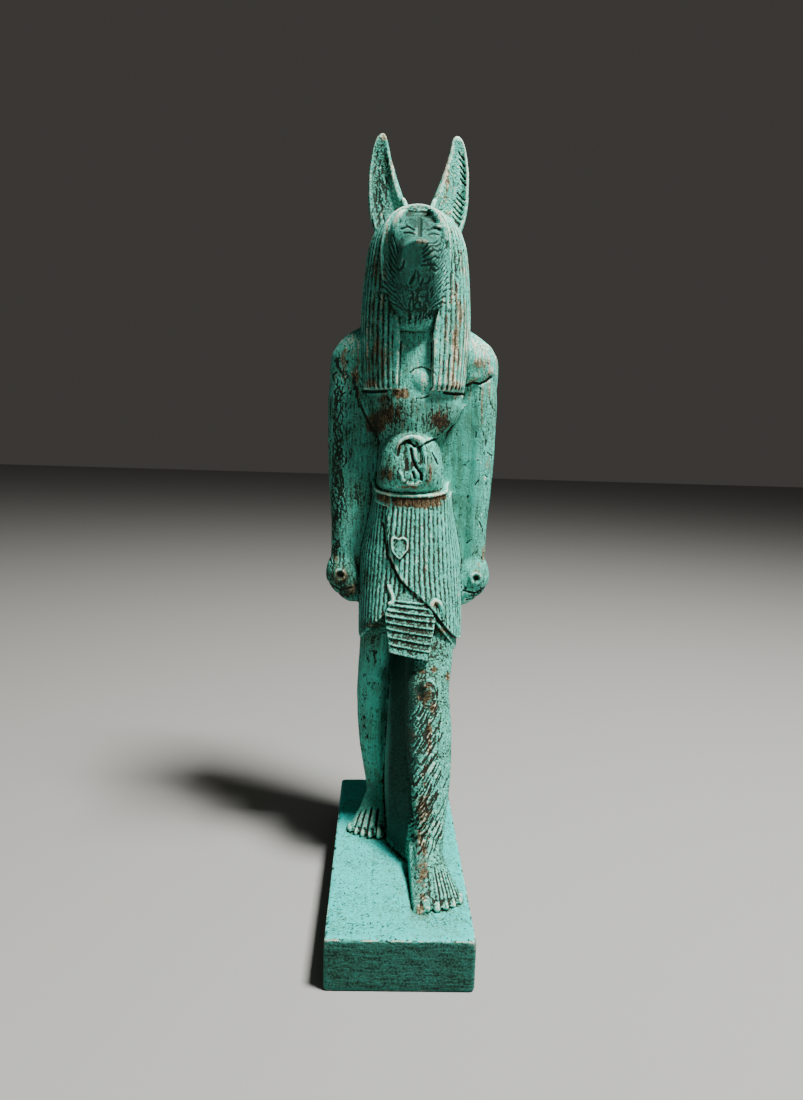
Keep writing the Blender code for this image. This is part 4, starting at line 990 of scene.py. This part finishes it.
def calmPlaces():
    # The smooth webs beside the trunk, the end of the muzzle and, less, the trailing leg.
    out = np.abs(side)
    webs = ramp(out, 13, 16) * ramp(28.5 - out, 0, 2.5) * ramp(height, 106, 116) * ramp(180 - height, 0, 8)
    muzzle = patches([(-3.4, 224.6, 4.6, 4.8, 1.3)], front & (depth < -20))
    calm = np.maximum(webs * ramp(side, -20, -8) * front, muzzle)
    return np.minimum(np.maximum(calm, 0.6 * trailing), 1)


def brownPlaces():
    # The patches, a base that grows up the figure, and what sticks out, such as nicks and rims.
    base = 0.30 * ramp(height, 140, 176) + 0.12 * ramp(height, 92, 100) + 0.16
    base += patches([(-16, 205, 5, 34, 0.5), (16, 200, 4, 30, 0.26), (26, 192, 8, 9, 0.16),
                     (-27, 191, 8, 11, 0.45)])
    base -= patches([(0.5, 85, 10, 11, 0.5), (17.5, 262, 3.5, 20, 0.4)])
    frontRim = np.exp(-(rimGap / 1.1) ** 2) * (depth < -95) * (np.abs(height) < 1.6)
    brown = patches(brownSpots)
    for other in (base * ramp(height, 1, 4) * (1 - paintedShade), 0.5 * ramp(bulge, 0.3, 0.8) * front,
                  1.1 * nicked, frontRim * (0.55 + 0.8 * noiseAt(points, 5, 12))):
        brown = np.maximum(brown, other)
    return brown * (1 - 0.8 * calm)


def brushHeight():
    # How high the brush reads each place: what stands out takes the light paint, hollows and
    # carved lines keep the dark one.
    hollow = 0.95 * ramp(-convex, 0.015, 0.09) + 0.3 * ramp(-bulge, 0.12, 0.6)
    hollow *= 1 - 0.85 * patches([(14.5, 152, 3, 13, 1), (17, 141, 4, 5, 1), (21, 160, 3, 20, 0.9),
                                  (-14.8, 150, 3, 13, 0.8)])
    high = 0.55 * ramp(convex, 0.008, 0.07) + 0.25 * ramp(bulge, 0.06, 0.5) + 0.42 * patches(paleSpots)
    high -= hollow + 0.85 * ramp(carved, 0.2, 0.8) + patches(dimSpots)
    return high + 0.45 * nicked + 0.12 * ramp(height, 178, 190) * front


def uprightStrokes():
    # Where the brush ran up and down: the kilt, trunk, arms and wig, and the trailing leg.
    aboveYoke = ramp(height - 196, 0, 6) * ramp(np.abs(side), 22, 26)
    return np.maximum(ramp(height, 76, 90) * ramp(252 - height, 0, 8) * (1 - aboveYoke), trailing)


trailing = ramp(-side, 3, 6) * ramp(height, 3, 8) * ramp(86 - height, 0, 8) * (depth > -22)
paintedShade = paintedShadePlaces()
calm = calmPlaces()
# What the paint reads at each point
measures = {"bias": brushHeight(), "brown": brownPlaces(), "chips": patches(chipSpots),
            "streak": uprightStrokes(), "paintedShade": paintedShade, "calm": calm}
print("paint", *(name + " %.3f" % value.mean() for name, value in measures.items()))


def thinned():
    # Levels the underside, hangs the paint's measures on the points, thins the skin to the wanted
    # count, least where the carving is finest, and brings it to metres in the shared frame.
    plinthTall = statue["toFrame"][2]
    points[points[:, 2] < 0.4 - plinthTall, 2] = -plinthTall
    draft = objectOf("draft", meshOf("draft", points, quads))
    for name, value in measures.items():
        layer = draft.data.attributes.new(name, "FLOAT", "POINT")
        layer.data.foreach_set("value", value.astype(np.float32))
    finest = (depth < -12) & (height > 205) | front & (height > 79) \
        | front & (side > -2) & (height > 4) & (depth < -18)
    keep = draft.vertex_groups.new(name="keep")
    for mask, amount in ((finest, 0.15), (~finest, 0.85)):
        keep.add(np.flatnonzero(mask).tolist(), amount, "REPLACE")
    thin = draft.modifiers.new("thin", "DECIMATE")
    thin.ratio = min(1, statue["triangles"] / (2 * len(quads)))
    thin.use_collapse_triangulate = True
    thin.vertex_group = "keep"
    thin.vertex_group_factor = 0.01
    deps = bpy.context.evaluated_depsgraph_get()
    mesh = bpy.data.meshes.new_from_object(draft.evaluated_get(deps), preserve_all_data_layers=True,
                                           depsgraph=deps)
    bpy.data.objects.remove(draft)
    mesh.transform(Matrix.Diagonal((0.001, 0.001, 0.001, 1)) @ Matrix.Translation(statue["toFrame"]))
    mesh.validate()
    mesh.name = "statue"
    mesh.polygons.foreach_set("use_smooth", np.ones(len(mesh.polygons), bool))
    return mesh


final = thinned()
piece = objectOf("statue", final)
print("statue", len(final.vertices), "points", len(final.polygons), "faces")


def node(tree, kind, **values):
    made = tree.nodes.new(kind)
    for name, value in values.items():
        setattr(made, name, value)
    return made


class Graph:
    # Short hands for building a node tree whose patterns all read Object coordinates.
    def __init__(self, tree):
        self.tree = tree

    def feed(self, slot, value):
        if isinstance(value, tuple):
            slot.default_value = (*value, 1) if len(slot.default_value) == 4 else value
        elif isinstance(value, (int, float)):
            slot.default_value = value
        else:
            self.tree.links.new(value, slot)

    def attribute(self, name):
        return node(self.tree, "ShaderNodeAttribute", attribute_name=name).outputs["Fac"]

    def noise(self, place, scale, detail, rough=0.6, stretch=(1, 1, 1)):
        made = node(self.tree, "ShaderNodeTexNoise")
        for name, value in (("Scale", scale), ("Detail", detail), ("Roughness", rough)):
            made.inputs[name].default_value = value
        squeezed = node(self.tree, "ShaderNodeMapping")
        squeezed.inputs["Scale"].default_value = stretch
        self.feed(squeezed.inputs["Vector"], place)
        self.feed(made.inputs["Vector"], squeezed.outputs["Vector"])
        return made.outputs["Fac"]

    def maths(self, kind, *values):
        made = node(self.tree, "ShaderNodeMath", operation=kind)
        for slot, value in zip(made.inputs, values):
            self.feed(slot, value)
        return made.outputs[0]

    def plus(self, a, b):
        return self.maths("ADD", a, b)

    def less(self, a, b):
        return self.maths("SUBTRACT", a, b)

    def times(self, a, b):
        return self.maths("MULTIPLY", a, b)

    def total(self, *pairs):
        # The sum of values times their weights.
        made = 0.0
        for value, weight in pairs:
            made = self.plus(made, self.times(value, weight))
        return made

    def between(self, share, a, b):
        # a at a share of 0, b at a share of 1.
        return self.plus(self.times(a, self.less(1, share)), self.times(b, share))

    def step(self, value, low, high, top=1):
        made = node(self.tree, "ShaderNodeMapRange", interpolation_type="SMOOTHSTEP")
        self.feed(made.inputs["Value"], value)
        for name, number in (("From Min", low), ("From Max", high), ("To Min", 0), ("To Max", top)):
            made.inputs[name].default_value = number
        return made.outputs["Result"]

    def mix(self, share, a, b):
        made = node(self.tree, "ShaderNodeMix", data_type="RGBA")
        slots = [s for s in made.inputs if s.type == "RGBA"]
        self.feed(made.inputs["Factor"], share)
        self.feed(slots[0], a)
        self.feed(slots[1], b)
        return [s for s in made.outputs if s.type == "RGBA"][0]

    def place(self, group, **values):
        made = node(self.tree, "ShaderNodeGroup", node_tree=group)
        for name, value in values.items():
            self.feed(made.inputs[name], value)
        return made.outputs


def groupOf(name, inputs, outputs):
    # An empty node group with its sockets, its graph and both ends.
    group = bpy.data.node_groups.new(name, "ShaderNodeTree")
    for label, kind in inputs:
        group.interface.new_socket(label, in_out="INPUT", socket_type="NodeSocket" + kind)
    for label, kind in outputs:
        group.interface.new_socket(label, in_out="OUTPUT", socket_type="NodeSocket" + kind)
    g = Graph(group)
    return group, g, node(group, "NodeGroupInput").outputs, node(group, "NodeGroupOutput").inputs


colours = {
    "ground": (0.014, 0.017, 0.010),
    "tealDark": (0.070, 0.27, 0.185),
    "teal": (0.085, 0.35, 0.265),
    "turquoise": (0.070, 0.60, 0.475),
    "plinthTurquoise": (0.015, 0.62, 0.575),
    "paleTouch": (0.55, 0.77, 0.61),
    "rustGround": (0.016, 0.010, 0.005),
    "rust": (0.080, 0.042, 0.015),
    "rustLight": (0.185, 0.125, 0.060),
    "rustTouch": (0.64, 0.67, 0.50),
    # The near-black green of the painted shade
    "paintedShade": (0.005, 0.040, 0.028),
}


def brushedGroup():
    # Four colours laid over each other by height, as dry brushing does: the ground in the pits,
    # the coat, its lighter top and the palest touch on the grains that stand highest.
    inputs = [("Height", "Float")] + [(name, "Color") for name in ("Ground", "Coat", "Light", "Touch")]
    group, g, given, out = groupOf("brushed", inputs, [("Color", "Color")])
    colour = g.mix(g.step(given["Height"], -0.26, -0.12), given["Ground"], given["Coat"])
    colour = g.mix(g.step(given["Height"], -0.06, 0.22), colour, given["Light"])
    g.feed(out["Color"], g.mix(g.step(given["Height"], 0.3, 0.56), colour, given["Touch"]))
    return group


def grainGroup():
    # Round grains, and beside them grains drawn out upright by the brush.
    group, g, given, out = groupOf("grain", [("Place", "Vector"), ("Upright", "Float")],
                                   [("Height", "Float"), ("Coarse", "Float")])
    place, upright = given["Place"], given["Upright"]
    fine = g.noise(place, 1150, 3, 0.65)
    drawn = g.noise(place, 1350, 3, 0.6, (1, 1, 0.14))
    g.feed(out["Height"], g.less(g.between(g.times(upright, 0.5), fine, drawn), 0.5))
    coarse = g.noise(place, 360, 4)
    pulled = g.noise(place, 520, 3, 0.6, (1, 1, 0.12))
    g.feed(out["Coarse"], g.less(g.between(upright, coarse, pulled), 0.5))
    return group


def figureHeight(g, place, grain, cloud, smooth):
    # The paint's height on the casting: grain, clouds and the painted bias, less the chipped
    # places, the painted shade and thin winding cracks.
    height = g.times(grain["Height"], g.less(2.6, smooth))
    height = g.plus(height, g.total((grain["Coarse"], 0.55), (cloud, 0.35), (g.attribute("bias"), 0.66)))
    chipped = g.plus(g.times(g.attribute("chips"), 0.2), g.noise(place, 760, 3, 0.6, (1, 1, 0.4)))
    winding = g.maths("ABSOLUTE", g.less(g.noise(place, 330, 2, 0.5), 0.5))
    cracks = g.times(g.step(winding, 0.012, 0), g.step(g.noise(place, 110, 2), 0.46, 0.56))
    return g.less(height, g.total((g.step(chipped, 0.67, 0.71), 0.9), (g.attribute("paintedShade"), 0.24),
                                  (cracks, 0.9)))


def plinthHeight(g, place, height, plinthTop, plinthSide):
    # Level streaks down the plinth's sides, and specks on its top, whose height is capped so that
    # it takes no pale touch.
    # The sides sit lower, towards the dark ground, as painted shade; the top a little higher
    height = g.plus(height, g.total((plinthSide, -0.16), (plinthTop, 0.10)))
    streaks = g.times(g.less(g.noise(place, 900, 3, 0.6, (0.12, 0.12, 1)), 0.5), plinthSide)
    height = g.plus(g.plus(height, 0.08), g.times(streaks, 1.3))
    height = g.maths("MINIMUM", height, g.less(3, g.times(plinthTop, 2.7)))
    specks = g.times(g.step(g.noise(place, 1000, 2), 0.65, 0.67), plinthTop)
    return g.less(height, g.times(specks, 1.2))


def verdigris():
    # Turquoise brushed over a dark ground, rubbed through to brown in patches, and darkened by
    # painted shade where the shade measure lies and on the plinth's sides.
    material = bpy.data.materials.new("verdigris_paint")
    material.use_nodes = True
    g = Graph(material.node_tree)
    shader = material.node_tree.nodes["Principled BSDF"]
    place = node(g.tree, "ShaderNodeTexCoord").outputs["Object"]
    xyz = node(g.tree, "ShaderNodeSeparateXYZ")
    g.feed(xyz.inputs[0], place)
    brushed = brushedGroup()
    grain = g.place(grainGroup(), Place=place, Upright=g.attribute("streak"))
    cloud = g.less(g.noise(place, 60, 3), 0.5)
    plinthSide = g.step(xyz.outputs["Z"], 0.0180, 0.0172)
    plinthTop = g.times(g.step(xyz.outputs["Z"], 0.0190, 0.0184), g.less(1, plinthSide))
    calm = g.maths("MAXIMUM", g.attribute("calm"), g.times(plinthTop, 0.75))
    smooth = g.total((calm, 1.8), (plinthSide, 1.1))
    height = figureHeight(g, place, grain, cloud, smooth)
    height = plinthHeight(g, place, height, plinthTop, plinthSide)

    teal = g.mix(g.step(cloud, -0.15, 0.15), colours["tealDark"], colours["teal"])
    lit = g.mix(plinthTop, colours["turquoise"], colours["plinthTurquoise"])
    coat = g.place(brushed, Height=height, Ground=colours["ground"], Coat=teal, Light=lit,
                   Touch=colours["paleTouch"])["Color"]
    rust = g.place(brushed, Height=g.plus(height, 0.04), Ground=colours["rustGround"],
                   Coat=colours["rust"], Light=colours["rustLight"], Touch=colours["rustTouch"])["Color"]
    rubbed = g.total((g.attribute("brown"), 1), (grain["Coarse"], 1.9), (grain["Height"], 1))
    colour = g.mix(g.step(rubbed, 0.62, 0.92, 0.95), coat, rust)
    # Painted shade: the shade measure, and the plinth's sides, mixed towards a near-black green
    shaded = g.maths("MAXIMUM", g.attribute("paintedShade"), g.times(plinthSide, 0.78))
    g.feed(shader.inputs["Base Color"], g.mix(g.times(shaded, 0.96), colour, colours["paintedShade"]))
    g.feed(shader.inputs["Roughness"], g.plus(0.76, g.times(g.step(height, -0.3, 0.3), 0.14)))
    shader.inputs["Specular IOR Level"].default_value = 0.2
    bump = node(g.tree, "ShaderNodeBump")
    bump.inputs["Distance"].default_value = 0.0003
    bump.inputs["Strength"].default_value = 0.85
    g.feed(bump.inputs["Height"], g.step(height, -0.35, 0.6))
    g.feed(shader.inputs["Normal"], bump.outputs["Normal"])
    return material


final.materials.clear()
final.materials.append(verdigris())
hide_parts("anubis_statue")
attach(piece, "root")


setting = {
    "floor": (0.33, 0.33, 0.32),
    "surroundings": (1, 0.94, 0.86),
    "glow": 0.05,
    "key": {"place": (0.34, -0.22, 1.02), "size": 0.2, "power": 31, "colour": (1, 0.99, 0.95)},
    "fill": {"place": (0.3, -1.3, 0.5), "size": 0.8, "power": 0.7, "colour": (1, 0.92, 0.80)},
}


def room():
    # A plain pale floor, a soft key light from high on the right, a little in front, and a weak
    # even light from all round.
    corners = np.array([(-4, -4, 0), (4, -4, 0), (4, 4, 0), (-4, 4, 0)], float)
    floor = objectOf("floor", meshOf("floor", corners, np.array([[0, 1, 2, 3]])))
    pale = bpy.data.materials.new("floor")
    pale.use_nodes = True
    surface = pale.node_tree.nodes["Principled BSDF"]
    surface.inputs["Base Color"].default_value = (*setting["floor"], 1)
    surface.inputs["Roughness"].default_value = 0.9
    floor.data.materials.append(pale)
    figureMiddle = np.array([0, 0, 0.13])
    for name in ("key", "fill"):
        lamp = setting[name]
        light = bpy.data.lights.new(name, "AREA")
        light.size = lamp["size"]
        light.energy = lamp["power"]
        light.color = lamp["colour"]
        holder = objectOf(name, light)
        back = unit(np.array(lamp["place"]) - figureMiddle)
        across = unit(np.cross((0, 1, 0), back))
        holder.matrix_world = axes(across, np.cross(back, across), back, lamp["place"])
    world = bpy.data.worlds.new("room")
    world.use_nodes = True
    background = world.node_tree.nodes["Background"]
    background.inputs["Color"].default_value = (*setting["surroundings"], 1)
    background.inputs["Strength"].default_value = setting["glow"]
    bpy.context.scene.world = world


def axes(right, up, back, place):
    # The matrix whose columns are three directions and a place.
    return Matrix([[*row, shift] for row, shift in zip(np.array([right, up, back]).T.tolist(), place)]
                  + [[0, 0, 0, 1]])


# The photograph's camera, in degrees and metres, and its lens in picture heights
photo = {
    "yaw": 1.679,
    "pitch": 7.506,
    "roll": 1.728,
    "place": (-0.01079, -0.31358, 0.1790),
    "lens": 826 / 1100,
}


def camera():
    # The photograph's angle: yaw, then pitch, then roll about the line of sight.
    yaw, pitch, roll = (math.radians(photo[name]) for name in ("yaw", "pitch", "roll"))
    forward = np.array([math.sin(yaw) * math.cos(pitch), math.cos(yaw) * math.cos(pitch), -math.sin(pitch)])
    level = np.array([math.cos(yaw), -math.sin(yaw), 0])
    up = np.cross(level, forward)
    lens = bpy.data.cameras.new("camera")
    lens.sensor_width = 36
    lens.lens = lens.sensor_width * photo["lens"]
    lens.clip_start = 0.01
    view = objectOf("camera", lens)
    across = level * math.cos(roll) + up * math.sin(roll)
    upright = up * math.cos(roll) - level * math.sin(roll)
    view.matrix_world = axes(across, upright, -forward, photo["place"])
    bpy.context.scene.camera = view


room()
camera()
